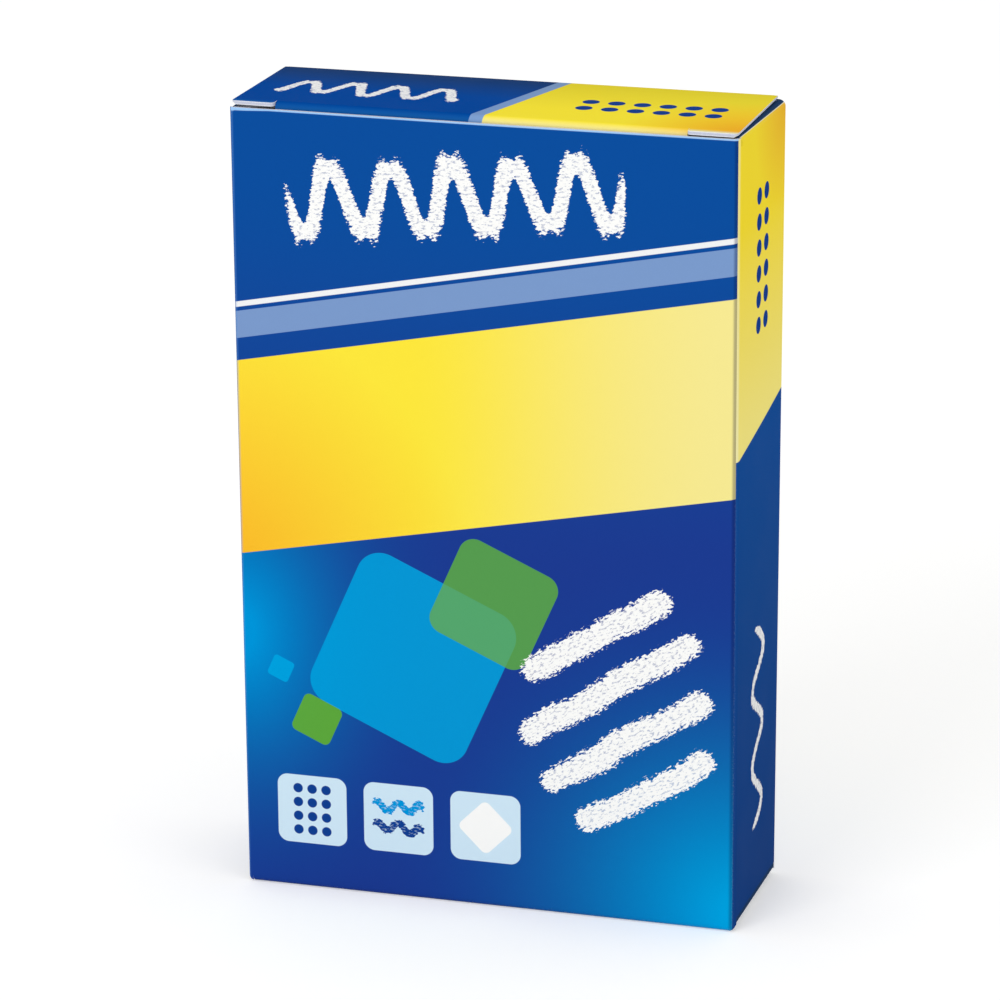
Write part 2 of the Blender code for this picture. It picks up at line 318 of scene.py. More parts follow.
ink_stroke, given, local = open_ink_group("ink_stroke", {
    "Half Length": "Float", "Height": "Float", "Step": "Float", "Half Width": "Float"})
part = add_node(ink_stroke, "SeparateXYZ", (local,)).outputs
half_height = add_node(ink_stroke, "Math", (given["Height"], 0.5), operation="MULTIPLY")
phase = part["X"]
for operation, size in (("MULTIPLY", math.pi), ("DIVIDE", given["Step"])):
    phase = add_node(ink_stroke, "Math", (phase, size), operation=operation)
wobble = add_node(ink_stroke, "TexNoise", {
    "Vector": given["Place"], "Scale": 1 / WOBBLE_SIZE, "Detail": 1.0}, noise_dimensions="2D")
wobble = add_node(ink_stroke, "MapRange", {"Value": wobble, "To Min": -WOBBLE, "To Max": WOBBLE})
line = phase
for operation, *size in (("COSINE",), ("MULTIPLY", half_height), ("ADD", wobble)):
    line = add_node(ink_stroke, "Math", (line, *size), operation=operation)
off = add_node(ink_stroke, "Math", (part["Y"], line), operation="SUBTRACT")
# A steep stretch of the wave is as wide as a level one, so the offset shrinks by the cosine of the slope
narrow = phase
for operation, *size in (("SINE",), ("MULTIPLY", half_height), ("MULTIPLY", math.pi),
                         ("DIVIDE", given["Step"]), ("ARCTANGENT",), ("COSINE",)):
    narrow = add_node(ink_stroke, "Math", (narrow, *size), operation=operation)
off = add_node(ink_stroke, "Math", (off, narrow), operation="MULTIPLY")
past = part["X"]
for operation, *size in (("ABSOLUTE",), ("SUBTRACT", given["Half Length"]), ("MAXIMUM", 0.0)):
    past = add_node(ink_stroke, "Math", (past, *size), operation=operation)
away = add_node(ink_stroke, "CombineXYZ", (past, off))
away = add_node(ink_stroke, "VectorMath", (away,), operation="LENGTH").outputs["Value"]
off = add_node(ink_stroke, "Math", (away, given["Half Width"]), operation="SUBTRACT")
print("a stroke wobbles by, mm:", WOBBLE)

# %% Grit of a stroke
GRIT = 0.35
GRIT_BITE = 0.46
GRIT_GAPS = 0.55
GAP_COVER = 0.55
DRAG = 0.45

drag = add_node(ink_stroke, "VectorMath", (local, (DRAG, 1, 1)), operation="MULTIPLY")
grit = add_node(ink_stroke, "TexNoise", {
    "Vector": drag, "Scale": 1 / GRIT, "Detail": 3.0, "Roughness": 0.65}, noise_dimensions="2D")
bite = add_node(ink_stroke, "MapRange", {
    "Value": grit, "From Min": 0.3, "From Max": 0.7, "To Min": -0.1 * GRIT_BITE, "To Max": GRIT_BITE})
off = add_node(ink_stroke, "Math", (bite, given["Half Width"], off), operation="MULTIPLY_ADD")
skip = add_node(ink_stroke, "MapRange", {
    "Value": grit, "From Min": GRIT_GAPS, "From Max": GRIT_GAPS + 0.08, "To Min": 1.0, "To Max": GAP_COVER})
cover = add_node(ink_stroke, "Math", (skip, given["Cover"]), operation="MULTIPLY")
close_ink_group(ink_stroke, given, off, cover)

# %% Grid of dots
ink_dots, given, local = open_ink_group("ink_dots", {
    "Half Size": "Vector", "Pitch": "Float", "Radius": "Float"})
cell = local
for operation, *size in (("ADD", given["Half Size"]), ("DIVIDE", given["Pitch"]), ("FRACTION",),
                         ("SUBTRACT", (0.5, 0.5, 0)), ("MULTIPLY", (1, 1, 0)), ("LENGTH",)):
    cell = add_node(ink_dots, "VectorMath", (cell, *size), operation=operation)
beyond = local
for operation, *size in (("ABSOLUTE",), ("SUBTRACT", given["Half Size"])):
    beyond = add_node(ink_dots, "VectorMath", (beyond, *size), operation=operation)
part = add_node(ink_dots, "SeparateXYZ", (beyond,)).outputs
distance = cell.outputs["Value"]
for operation, size in (("MULTIPLY", given["Pitch"]), ("SUBTRACT", given["Radius"]),
                        ("MAXIMUM", part["X"]), ("MAXIMUM", part["Y"])):
    distance = add_node(ink_dots, "Math", (distance, size), operation=operation)
close_ink_group(ink_dots, given, distance, given["Cover"])

# %% [markdown]
# ## Printed and varnished board
# The outside is clay-coated white board, printed in offset and sealed with a thin matt varnish. It is
# smooth but mirrors next to nothing, and the clay shows a faint orange-peel in it. One function gives
# every print that surface. Where the sheet is folded the ink stretches, so fine pale cracks follow a
# crease. A table of shapes is enough to describe a print, and one function prints such a table.

# %% Inks, and how shapes are printed
INK = {
    "royal": "#0C4D9D", "violet": "#1D3A90", "cyan": "#0094D9", "bright cyan": "#00A3E0",
    "yellow": "#FCE63C", "orange": "#F9B628", "cream": "#F6E993", "sky": "#9FBFE8", "pale": "#CFE7F6",
    "green": "#5EA92F", "navy": "#184183", "white": "#FCFCFA", "deep": "#123F8F",
}


def blank_place(tree):
    """The place on the flat blank in mm."""
    flat = add_node(tree, "UVMap", uv_map=BLANK_MAP)
    return add_node(tree, "VectorMath", {0: flat, "Scale": 1 / MM}, operation="SCALE")


def print_shapes(tree, place, under, rows):
    """Print shapes, each over the one before. A row gives the shape, the ink by name or socket, its cover,
    the centre in mm, the turn in degrees, and the shape's own sizes in mm."""
    for shape, ink, cover, centre, turn, sizes in rows:
        under = add_node(tree, "Group", {
            "Place": place, "Under": under, "Ink": INK[ink] if isinstance(ink, str) else ink, "Cover": cover,
            "Centre": (*centre, 0), "Turn": math.radians(turn), **sizes}, node_tree=shape)
    return under


def distance_to(tree, value, mark):
    """How far a value lies from a mark, on either side of it."""
    for operation, *size in (("SUBTRACT", mark), ("ABSOLUTE",)):
        value = add_node(tree, "Math", (value, *size), operation=operation)
    return value


print("inks:", ", ".join(INK))

# %% Matt varnish over a print
PEEL_SIZE = 0.9
PEEL_DEPTH = 0.004 * MM
GLOSS_SIZE = 14 * PEEL_SIZE
CRACK_SIZE = 0.22
CRACK_REACH = 0.6
WEAR = 0.06
# The tent is lit so that the varnish mirrors nothing, and hardly any sheen is left at a grazing angle
SHEEN = 0.0015


def close_material(tree, inputs):
    """End a material in one surface."""
    surface = add_node(tree, "BsdfPrincipled", inputs)
    add_node(tree, "OutputMaterial", {"Surface": surface})
    print("material nodes:", len(tree.nodes))


def varnish(tree, place, colour, crease):
    """Varnish over a print; crease is the distance to the nearest fold in mm."""
    crack = add_node(tree, "TexNoise", {
        "Vector": place, "Scale": 1 / CRACK_SIZE, "Detail": 2.0}, noise_dimensions="2D")
    near = add_node(tree, "MapRange", {
        "Value": crease, "From Min": 0.0, "From Max": CRACK_REACH, "To Min": 0.62, "To Max": 0.2})
    worn = add_node(tree, "Math", (near, crack), operation="SUBTRACT")
    worn = add_node(tree, "MapRange", {
        "Value": worn, "From Max": 0.3, "To Max": WEAR}, interpolation_type="SMOOTHSTEP")
    colour = add_node(tree, "Mix", {0: worn, 6: colour, 7: "#DDE6F2"}, data_type="RGBA").outputs[2]
    peel = add_node(tree, "TexNoise", {
        "Vector": place, "Scale": 1 / PEEL_SIZE, "Detail": 2.0}, noise_dimensions="2D")
    bump = add_node(tree, "Bump", {"Height": peel, "Distance": PEEL_DEPTH, "Strength": 1.0})
    gloss = add_node(tree, "TexNoise", {
        "Vector": place, "Scale": 1 / GLOSS_SIZE, "Detail": 1.0}, noise_dimensions="2D")
    rough = add_node(tree, "MapRange", {
        "Value": gloss, "From Min": 0.3, "From Max": 0.7, "To Min": 0.48, "To Max": 0.58})
    close_material(tree, {
        "Base Color": colour, "Roughness": rough, "Normal": bump, "Specular IOR Level": SHEEN})


print("orange-peel, mm:", PEEL_SIZE)

# %% [markdown]
# ## The print on the four panels
# The design is plain: a blue ground with light breaking through, a slanting yellow sash with two thin
# stripes, strokes as the crayon itself draws them, overlapping tiles, and twelve dots for the twelve
# crayons. The back panel repeats the front and the left panel repeats the right one, as on many cartons,
# so u is wrapped at half the way round and the design is drawn once.

# %% Ground of the front panel
PANEL_EDGE = HALF_WIDTH / MM
SIDE_END = (HALF_WIDTH + 2 * HALF_DEPTH) / MM
PRINT_SKEW = 0.3

printed_sleeve, tree = open_material("offset_print_on_coated_board")
place = blank_place(tree)
part = add_node(tree, "SeparateXYZ", (place,)).outputs
# The print sits a little askew on the blank, so its edge wanders off the crease towards the base
askew = add_node(tree, "MapRange", {
    "Value": part["Y"], "From Max": HEIGHT / MM, "To Min": PRINT_SKEW, "To Max": 0.0})
along = add_node(tree, "Math", (part["X"], askew), operation="ADD")
along = add_node(tree, "Math", (along, SIDE_END, -PANEL_EDGE), operation="WRAP")
panel = add_node(tree, "CombineXYZ", (along, part["Y"]))

rise = add_node(tree, "MapRange", {
    "Value": part["Y"], "From Min": 50.0, "From Max": 112.0}, interpolation_type="SMOOTHSTEP")
ground = add_node(tree, "Mix", {0: rise, 6: INK["violet"], 7: INK["royal"]}, data_type="RGBA").outputs[2]
# Each glow: centre in mm on the panel, full and outer reach in mm, upright stretch, fall-off, and ink
for centre, full, reach, stretch, power, ink in (
    ((-38, 40), 8.0, 36.5, 1.36, 1.3, "royal"),
    ((-38, 40), 2.5, 31.5, 1.36, 2.6, "cyan"),
    ((40, 2), 12.0, 61.0, 0.94, 1.3, "royal"),
    ((40, 2), 4.0, 53.0, 0.94, 2.3, "bright cyan"),
):
    away = panel
    for operation, *size in (("SUBTRACT", (*centre, 0)), ("MULTIPLY", (1, 1 / stretch, 0)), ("LENGTH",)):
        away = add_node(tree, "VectorMath", (away, *size), operation=operation)
    glow = add_node(tree, "MapRange", {
        "Value": away.outputs["Value"], "From Min": reach, "From Max": full})
    glow = add_node(tree, "Math", (glow, power), operation="POWER")
    ground = add_node(tree, "Mix", {0: glow, 6: ground, 7: INK[ink]}, data_type="RGBA").outputs[2]
print("print is wrapped at, mm:", round(SIDE_END, 2))

# %% Sash and stripes
SASH_TURN = 11
SASH_HEIGHT = 74
SASH_REACH = 60
SASH_CORNER = (-44, 46, 0)

shade = add_node(tree, "VectorMath", (panel, SASH_CORNER), operation="DISTANCE").outputs["Value"]
shade = add_node(tree, "MapRange", {"Value": shade, "From Min": 44.0, "From Max": 6.0})
sash = add_node(tree, "Mix", {0: shade, 6: INK["yellow"], 7: INK["orange"]}, data_type="RGBA").outputs[2]
fade = add_node(tree, "MapRange", {
    "Value": along, "From Min": -12.0, "From Max": 40.0}, interpolation_type="SMOOTHSTEP")
sash = add_node(tree, "Mix", {0: fade, 6: sash, 7: INK["cream"]}, data_type="RGBA").outputs[2]
slant = math.radians(SASH_TURN)
# Each stripe: how far it lies above the sash, its half width in mm, ink, and cover
front = print_shapes(tree, panel, ground, [
    (ink_block, ink, cover, (-rise * math.sin(slant), SASH_HEIGHT + rise * math.cos(slant)), -SASH_TURN,
     {"Half Size": (SASH_REACH, half, 1)})
    for rise, half, ink, cover in (
        (19.8, 2.0, "sky", 0.55), (22.8, 0.4, "white", 0.9), (0.0, 14.5, sash, 1.0))
])
print("sash rises by, degrees:", SASH_TURN)

# %% Tiles, strokes and dots of the front panel
# Each tile: centre and half size in mm, turn in degrees, ink, and cover
front = print_shapes(tree, panel, front, [
    (ink_block, ink, cover, centre, turn, {"Half Size": (half, half, 1), "Corner": 0.3 * half})
    for centre, half, turn, ink, cover in (
        ((-11, 38), 13.0, 24, "bright cyan", 0.8),
        ((1.5, 47.5), 8.0, 24, "green", 0.8),
        ((-26, 27), 3.2, 24, "green", 0.95),
        ((-31.5, 34.5), 1.7, 24, "bright cyan", 0.9),
        ((-27, 12.5), 5.4, 0, "pale", 1.0),
        ((-13.5, 12.5), 5.4, 0, "pale", 1.0),
        ((0, 12.5), 5.4, 0, "pale", 1.0),
        ((0, 12.5), 3.1, 45, "white", 1.0),
    )
])
# Each stroke: centre, half length, wave height and step, half width in mm, turn in degrees, and ink
front = print_shapes(tree, panel, front, [
    (ink_stroke, ink, 1.0, centre, turn,
     {"Half Length": half, "Height": height, "Step": step, "Half Width": width})
    for centre, half, height, step, width, turn, ink in (
        ((-4, 108), 24, 8.5, 4.6, 1.6, -5, "white"),
        ((17, 44), 11, 0, 1, 2.4, -32, "white"),
        ((19, 36), 14, 0, 1, 2.4, -32, "white"),
        ((21.5, 28), 13, 0, 1, 2.4, -32, "white"),
        ((24.5, 20.5), 10, 0, 1, 2.4, -32, "white"),
        ((-13.5, 14.2), 3.4, 1.2, 1.7, 0.75, 0, "cyan"),
        ((-13.5, 10.8), 3.4, 1.2, 1.7, 0.75, 0, "deep"),
    )
])
front = print_shapes(tree, panel, front, [
    (ink_dots, "deep", 1.0, (-27, 12.5), 0, {"Half Size": (3.3, 4.4, 1), "Pitch": 2.2, "Radius": 0.75})])
print("front print ends at node", front.name)

# %% Side panels
def side_yellow(tree, place, height):
    """Yellow of the right panel, paler towards its foot and warm in its upper back corner."""
    tint = add_node(tree, "MapRange", {"Value": height, "From Min": 72.0, "From Max": 106.0})
    yellow = add_node(tree, "Mix", {0: tint, 6: "#FDEF8C", 7: "#FFE536"}, data_type="RGBA").outputs[2]
    corner = (SIDE_END, HEIGHT / MM, 0)
    away = add_node(tree, "VectorMath", (place, corner), operation="DISTANCE").outputs["Value"]
    warm = add_node(tree, "MapRange", {"Value": away, "From Min": 17.0, "From Max": 1.0})
    return add_node(tree, "Mix", {0: warm, 6: yellow, 7: "#F6BC34"}, data_type="RGBA").outputs[2]


side_middle = SIDE_MIDDLE / MM
ground = add_node(tree, "MapRange", {"Value": part["Y"], "From Min": 10.0, "From Max": 80.0})
side = add_node(tree, "Mix", {0: ground, 6: INK["navy"], 7: "#144F9B"}, data_type="RGBA").outputs[2]
is_right = add_node(tree, "Math", (part["X"], 0.0), operation="GREATER_THAN")
after = add_node(tree, "MapRange", {
    "Value": along, "From Min": PANEL_EDGE + 0.75, "From Max": PANEL_EDGE + 0.25, "To Max": 0.4},
    interpolation_type="SMOOTHSTEP")
yellow = side_yellow(tree, panel, part["Y"])
yellow = add_node(tree, "Mix", {0: after, 6: yellow, 7: "#EEF3DC"}, data_type="RGBA").outputs[2]
side = print_shapes(tree, panel, side, (
    (ink_block, yellow, is_right, (side_middle, 112), -SASH_TURN, {"Half Size": (40, 37, 1)}),
    (ink_dots, "deep", 1.0, (side_middle, 99), 0,
     {"Half Size": (3.8, 11.4, 1), "Pitch": 3.8, "Radius": 1.25}),
    (ink_stroke, "white", 0.95, (side_middle, 28), 90,
     {"Half Length": 15.0, "Height": 5.5, "Step": 6.0, "Half Width": 0.9}),
))
print("side print ends at node", side.name)

# %% The whole sleeve
# The blue is darkened just before the right fold as painted shade, where the crease turns away from the
# light, and it is paler just after the left fold as a painted highlight. A light line along the upper cut
# edge is a painted highlight too.
FRONT_CUT = FRONT_TOP / MM
BASE_CREASE = (HEIGHT - HINGE_TOP - CREASE_MIDDLE) / MM
# Painted shade before the right fold, and painted highlights after the left fold and along the top cut edge
for value, start, end, ink, power in (
    (along, PANEL_EDGE - 0.9, PANEL_EDGE - 0.35, "#0E2058", 0.5),
    (along, 0.7 - PANEL_EDGE, 0.3 - PANEL_EDGE, "#5F97DC", 0.3),
    (part["Y"], FRONT_CUT - 0.26, FRONT_CUT - 0.14, "#A6D2FF", 0.9),
):
    reach = add_node(tree, "MapRange", {
        "Value": value, "From Min": start, "From Max": end, "To Max": power}, interpolation_type="SMOOTHSTEP")
    front = add_node(tree, "Mix", {0: reach, 6: front, 7: ink}, data_type="RGBA").outputs[2]
is_side = add_node(tree, "Math", (along, PANEL_EDGE), operation="GREATER_THAN")
whole = add_node(tree, "Mix", {0: is_side, 6: front, 7: side}, data_type="RGBA").outputs[2]

to_back = add_node(tree, "Math", (SIDE_END, along), operation="SUBTRACT")
either_side = add_node(tree, "Math", (along,), operation="ABSOLUTE")
crease = distance_to(tree, either_side, PANEL_EDGE)
for other in (to_back, distance_to(tree, part["Y"], BASE_CREASE)):
    crease = add_node(tree, "Math", (crease, other), operation="MINIMUM")
varnish(tree, place, whole, crease)

# %% [markdown]
# ## The print on the lid and the flaps
# The lid is blue on its left and yellow on its right. It hangs on the back panel, so on the blank it lies
# upside down beyond that panel, and its own x runs against u. The dust flaps are only printed for a few
# millimetres past the crease, as a bleed, and the white coated board shows beyond.

# %% Inks of the lid
LID_CORNER = (38, 23, 0)
LID_FOLD = 23.5
FOLD_REACH = 1.4

printed_lid, tree = open_material("offset_print_on_lid_board")
place = blank_place(tree)
part = add_node(tree, "SeparateXYZ", (place,)).outputs
across = add_node(tree, "Math", (BACK_MIDDLE / MM, part["X"]), operation="SUBTRACT")
ahead = add_node(tree, "Math", (part["Y"], HEIGHT / MM), operation="SUBTRACT")
top = add_node(tree, "CombineXYZ", (across, ahead))
warm = add_node(tree, "VectorMath", (top, LID_CORNER), operation="DISTANCE").outputs["Value"]
warm = add_node(tree, "MapRange", {"Value": warm, "From Min": 18.0, "From Max": 2.0})
# Painted shade: the yellow clears over 16 mm from the hinge and the blue over 12 mm
bright = add_node(tree, "MapRange", {"Value": ahead, "From Min": 0.0, "From Max": 16.0})
hinge = add_node(tree, "MapRange", {"Value": ahead, "From Min": 12.0, "From Max": -0.5})
# Painted sheen along the fold of the tuck flap, on both inks
fold = add_node(tree, "MapRange", {
    "Value": distance_to(tree, ahead, LID_FOLD), "From Min": FOLD_REACH, "From Max": 0.0},
    interpolation_type="SMOOTHSTEP")
# Both inks darken towards the hinge as painted shade, and pale at the tuck flap's fold as painted sheen
sun = "#E8D634"
for share, ink in ((bright, "#FFEB3A"), (warm, INK["orange"]), (fold, "#F0E8B0")):
    sun = add_node(tree, "Mix", {0: share, 6: sun, 7: ink}, data_type="RGBA").outputs[2]
ground = "#00489E"
for share, ink in ((hinge, "#1D3C6B"), (fold, "#1C63A9")):
    ground = add_node(tree, "Mix", {0: share, 6: ground, 7: ink}, data_type="RGBA").outputs[2]
print("lid inks pale at the fold, mm:", FOLD_REACH)

# %% Lid print
LID_SLANT = -16

colour = print_shapes(tree, top, ground, (
    (ink_block, "sky", 0.6, (24, 12), LID_SLANT, {"Half Size": (22, 60, 1)}),
    (ink_block, sun, 1.0, (26, 12), LID_SLANT, {"Half Size": (22, 60, 1)}),
    (ink_dots, "deep", 1.0, (22, 12.5), 0, {"Half Size": (11.4, 3.8, 1), "Pitch": 3.8, "Radius": 1.25}),
    (ink_stroke, "white", 0.95, (-20, 12), 0,
     {"Half Length": 13.0, "Height": 6.0, "Step": 3.4, "Half Width": 1.0}),
))
varnish(tree, place, colour, distance_to(tree, part["Y"], (HINGE_TOP + CREASE_MIDDLE) / MM))

# %% Flap print
BLEED = 7.0
FRONT_OVERRUN = 1.05
BACK_OVERRUN = 1.02
INK_GAP = 0.08
MID_HEIGHT = HEIGHT / 2 / MM

printed_flap, tree = open_material("bleed_print_on_flap_board")
place = blank_place(tree)
part = add_node(tree, "SeparateXYZ", (place,)).outputs
from_middle = distance_to(tree, part["Y"], MID_HEIGHT)
bleed = add_node(tree, "Math", (from_middle, MID_HEIGHT + BLEED), operation="LESS_THAN")
colour = add_node(tree, "Mix", {0: bleed, 6: "#F1F1EE", 7: "#223E64"}, data_type="RGBA").outputs[2]
# The yellow of the right panel runs over the crease of the upper flap
overrun = add_node(tree, "MapRange", {
    "Value": part["X"], "From Min": PANEL_EDGE, "From Max": SIDE_END,
    "To Min": SIDE_TOP / MM + FRONT_OVERRUN, "To Max": SIDE_TOP / MM + BACK_OVERRUN})
room = add_node(tree, "Math", (overrun, part["Y"]), operation="SUBTRACT")
is_right = add_node(tree, "Math", (part["X"], 0.0), operation="GREATER_THAN")
is_upper = add_node(tree, "Math", (part["Y"], MID_HEIGHT), operation="GREATER_THAN")
is_top_right = add_node(tree, "Math", (is_right, is_upper), operation="MULTIPLY")
# It ends a hair short of the blue, and a pale cream line lies between them
for ink, short in (("#EDEBCB", 0.0), (side_yellow(tree, place, part["Y"]), INK_GAP)):
    covered = add_node(tree, "Math", (room, short), operation="GREATER_THAN")
    covered = add_node(tree, "Math", (covered, is_top_right), operation="MULTIPLY")
    colour = add_node(tree, "Mix", {0: covered, 6: colour, 7: ink}, data_type="RGBA").outputs[2]
varnish(tree, place, colour, distance_to(tree, from_middle, (SIDE_TOP + CREASE_MIDDLE - HEIGHT / 2) / MM))

# %% [markdown]
# ## Bare board
# The inside is uncoated, so its fibres show as a soft mottle with a few darker flecks. A cut edge shows
# the layers: a thin white coat on each face and a greyer core between, torn a little by the die. Depth
# through the board comes from the second coordinate of the blank map on those edge faces. Real fibres
# are finer than a tenth of a millimetre, so both are drawn coarser here, to show at arm's length.

# %% Uncoated inside
FIBRE = 1.4
FIBRE_DEPTH = 0.02 * MM
FLECK = 2.6

bare_inside, tree = open_material("uncoated_board_inside")
place = blank_place(tree)
fibre = add_node(tree, "TexNoise", {
    "Vector": place, "Scale": 1 / FIBRE, "Detail": 5.0, "Roughness": 0.7}, noise_dimensions="2D")
tone = add_node(tree, "ValToRGB", (fibre,))
for stop, share, shade in zip(tone.color_ramp.elements, (0.3, 0.7), ("#D6D3CB", "#E9E7E0")):
    stop.position = share
    stop.color = linear(shade)
fleck = add_node(tree, "TexVoronoi", {"Vector": place, "Scale": 1 / FLECK}, voronoi_dimensions="2D")
dark = add_node(tree, "MapRange", {
    "Value": fleck.outputs["Distance"], "From Min": 0.04, "From Max": 0.1, "To Min": 0.25, "To Max": 0.0})
colour = add_node(tree, "Mix", {0: dark, 6: tone, 7: "#9C9486"}, data_type="RGBA").outputs[2]
bump = add_node(tree, "Bump", {"Height": fibre, "Distance": FIBRE_DEPTH, "Strength": 1.0})
close_material(tree, {"Base Color": colour, "Roughness": 0.85, "Normal": bump})

# %% Cut edge
COAT = 0.09
TORN_FIBRE = 1 / 6
TEAR = 0.12
TEAR_DEPTH = 0.03 * MM
HALF_BOARD = BOARD / 2 / MM

cut_edge, tree = open_material("die_cut_board_edge")
place = blank_place(tree)
depth = add_node(tree, "SeparateXYZ", (place,)).outputs["Y"]
centre = distance_to(tree, depth, HALF_BOARD)
fibre = add_node(tree, "TexNoise", {
    "Vector": place, "Scale": 1 / TORN_FIBRE, "Detail": 4.0, "Roughness": 0.7}, noise_dimensions="2D")
ragged = add_node(tree, "Math", (fibre, TEAR, centre), operation="MULTIPLY_ADD")
coat = add_node(tree, "MapRange", {
    "Value": ragged, "From Min": HALF_BOARD - COAT, "From Max": HALF_BOARD + 0.5 * COAT})
core = add_node(tree, "Mix", {0: fibre, 6: "#A9AEC4", 7: "#DCE0EE"}, data_type="RGBA").outputs[2]
colour = add_node(tree, "Mix", {0: coat, 6: core, 7: "#F3F5FC"}, data_type="RGBA").outputs[2]
bump = add_node(tree, "Bump", {"Height": fibre, "Distance": TEAR_DEPTH, "Strength": 1.0})
close_material(tree, {"Base Color": colour, "Roughness": 0.9, "Normal": bump})

# %% [markdown]
# ## Folding a sheet
# A flat sheet with a Solidify modifier could be bent, but its edges would lose their layers. Here the
# sheet is built from cells instead. Each corner of a cell knows its outer point, its inner point and its
# place on the blank. A strip of cells follows a path of stations, which hold both faces of the board.

# %% Stations and cells
FOLD_STEPS = 8
Station = namedtuple("Station", "outer inner run")
quarter = math.pi / 2


def spaced(start, end, count):
    """Even steps from start to end, both included."""
    return [start + (end - start) * step / count for step in range(count + 1)]


def bend(centre, start, turn, run, length=None):
    """Stations of a crease about centre, from angle start through turn, in the plane of the fold. On the
    blank it is as long as given, or else as long as the middle of the board."""
    length = length or abs(turn) * (FOLD_RADIUS + FOLD_INNER) / 2
    stations = []
    for share in spaced(0, 1, FOLD_STEPS):
        angle = start + turn * share
        way = Vector((math.cos(angle), math.sin(angle)))
        stations.append(Station(centre + FOLD_RADIUS * way, centre + FOLD_INNER * way, run + share * length))
    return stations


def moved(station, ahead):
    """A station further along a flat stretch that runs against the first axis of its plane."""
    step = Vector((ahead, 0))
    return Station(station.outer - step, station.inner - step, station.run + ahead)


def grid(rows, columns, corner):
    """Cells between neighbouring rows and columns; corner gives the three places of one corner."""
    cells = []
    for first, second in zip(rows, rows[1:]):
        for low, high in zip(columns, columns[1:]):
            ring = ((first, low), (second, low), (second, high), (first, high))
            cells.append([corner(row, column) for row, column in ring])
    return cells


def strip(path, places, point, flat, thinned=lambda at: 1):
    """Cells of a strip that follows a path of stations and is as wide as the places say; thinned gives the
    share of the board's thickness that is left at a place."""
    def corner(station, at):
        inner = station.outer.lerp(station.inner, thinned(at))
        return point(station.outer, at), point(inner, at), flat(station.run, at)

    return grid(path, places, corner)


print("fold radius, mm:", round(FOLD_RADIUS / MM, 2))

# %% [markdown]
# Outer and inner faces come from every cell, and an edge used by one cell only is a cut edge and gets a
# face through the board. A small bevel then softens those edges, as a die does. Modifiers are only a
# step on the way, so each piece is kept as a plain mesh.

# %% Plain mesh with soft cut edges
DIE_ROUND = 0.07 * MM
SHARP = math.radians(35)


def keep_mesh(name, draft):
    """Turn an object with modifiers into a plain mesh object of that name."""
    depsgraph = bpy.context.evaluated_depsgraph_get()
    mesh = bpy.data.meshes.new_from_object(
        draft.evaluated_get(depsgraph), preserve_all_data_layers=True, depsgraph=depsgraph)
    old = draft.data
    bpy.data.objects.remove(draft)
    if old.users == 0:
        bpy.data.meshes.remove(old)
    mesh.name = name
    mesh.set_sharp_from_angle(angle=SHARP)
    piece = bpy.data.objects.new(name, mesh)
    scene.collection.objects.link(piece)
    print(name, "faces:", len(mesh.polygons))
    return piece


def finish_sheet(name, shape, materials):
    """Soften the cut edges and keep the result as one plain mesh."""
    draft_mesh = bpy.data.meshes.new(name + "_draft")
    shape.to_mesh(draft_mesh)
    shape.free()
    for material in materials:
        draft_mesh.materials.append(material)
    draft = bpy.data.objects.new(name + "_draft", draft_mesh)
    scene.collection.objects.link(draft)
    bevel = draft.modifiers.new("die_round", "BEVEL")
    bevel.width = DIE_ROUND
    bevel.segments = 2
    bevel.limit_method = "WEIGHT"
    bevel.material = 2
    return keep_mesh(name, draft)


print("cut edges are rounded by, mm:", round(DIE_ROUND / MM, 2))

# %% Closed board from cells
DIE_ANGLE = math.radians(60)
WELD = 1e-7


def fold_sheet(name, cells, materials, on_crease=None, change=None):
    """A closed board from cells. The materials are for the outside, inside and cut edges; on_crease tells
    whether an outer point lies where the board goes on in another piece, and change moves every point."""
    shape = bmesh.new()
    blank = shape.loops.layers.uv.new(BLANK_MAP)
    known = {}
    rims = {}

    def vertex(point):
        key = tuple(round(value / WELD) for value in point)
        if key not in known:
            known[key] = shape.verts.new(point)
        return known[key]

    def face(ring, places, material):
        made = shape.faces.new(ring)
        made.material_index = material
        made.smooth = True
        for loop, place in zip(made.loops, places):
            loop[blank].uv = place

    for cell in cells:
        outer = [vertex(corner[0]) for corner in cell]
        inner = [vertex(corner[1]) for corner in cell]
        flat = [Vector(corner[2]) for corner in cell]
        face(outer, flat, 0)
        face(inner[::-1], flat[::-1], 1)
        for here in range(len(cell)):
            there = (here + 1) % len(cell)
            way = (flat[there] - flat[here]).normalized()
            ring = (outer[there], outer[here], inner[here], inner[there])
            ends = (flat[there].dot(way), flat[here].dot(way))
            places = ((ends[0], 0), (ends[1], 0), (ends[1], BOARD), (ends[0], BOARD))
            joined = on_crease and on_crease(*cell[here][0]) and on_crease(*cell[there][0])
            if joined:
                places = (flat[there], flat[here], flat[here], flat[there])
            rims.setdefault(frozenset(ring[:2]), []).append((ring, places, 0 if joined else 2))
    for found in rims.values():
        if len(found) == 1:
            face(*found[0])
    weight = shape.edges.layers.float.new("bevel_weight_edge")
    for edge in shape.edges:
        kinds = [made.material_index for made in edge.link_faces]
        edge[weight] = float(2 in kinds and edge.calc_face_angle(0) > DIE_ANGLE)
    if change:
        for vert in shape.verts:
            vert.co = change(vert.co)
    bmesh.ops.recalc_face_normals(shape, faces=shape.faces)
    return finish_sheet(name, shape, materials)


print("points closer than this are one, mm:", WELD / MM)

# %% [markdown]
# ## The sleeve
# The sleeve is one strip that goes round the crayons: left, front, right and back panels, and then a glue
# flap that turns in behind the left panel. A cube with thin walls would look closed all round, but the
# real one shows the raw edge of the left panel at its glued corner, so the strip is left open there. The
# panels also bulge by a hair between their creases, which breaks up the reflections.

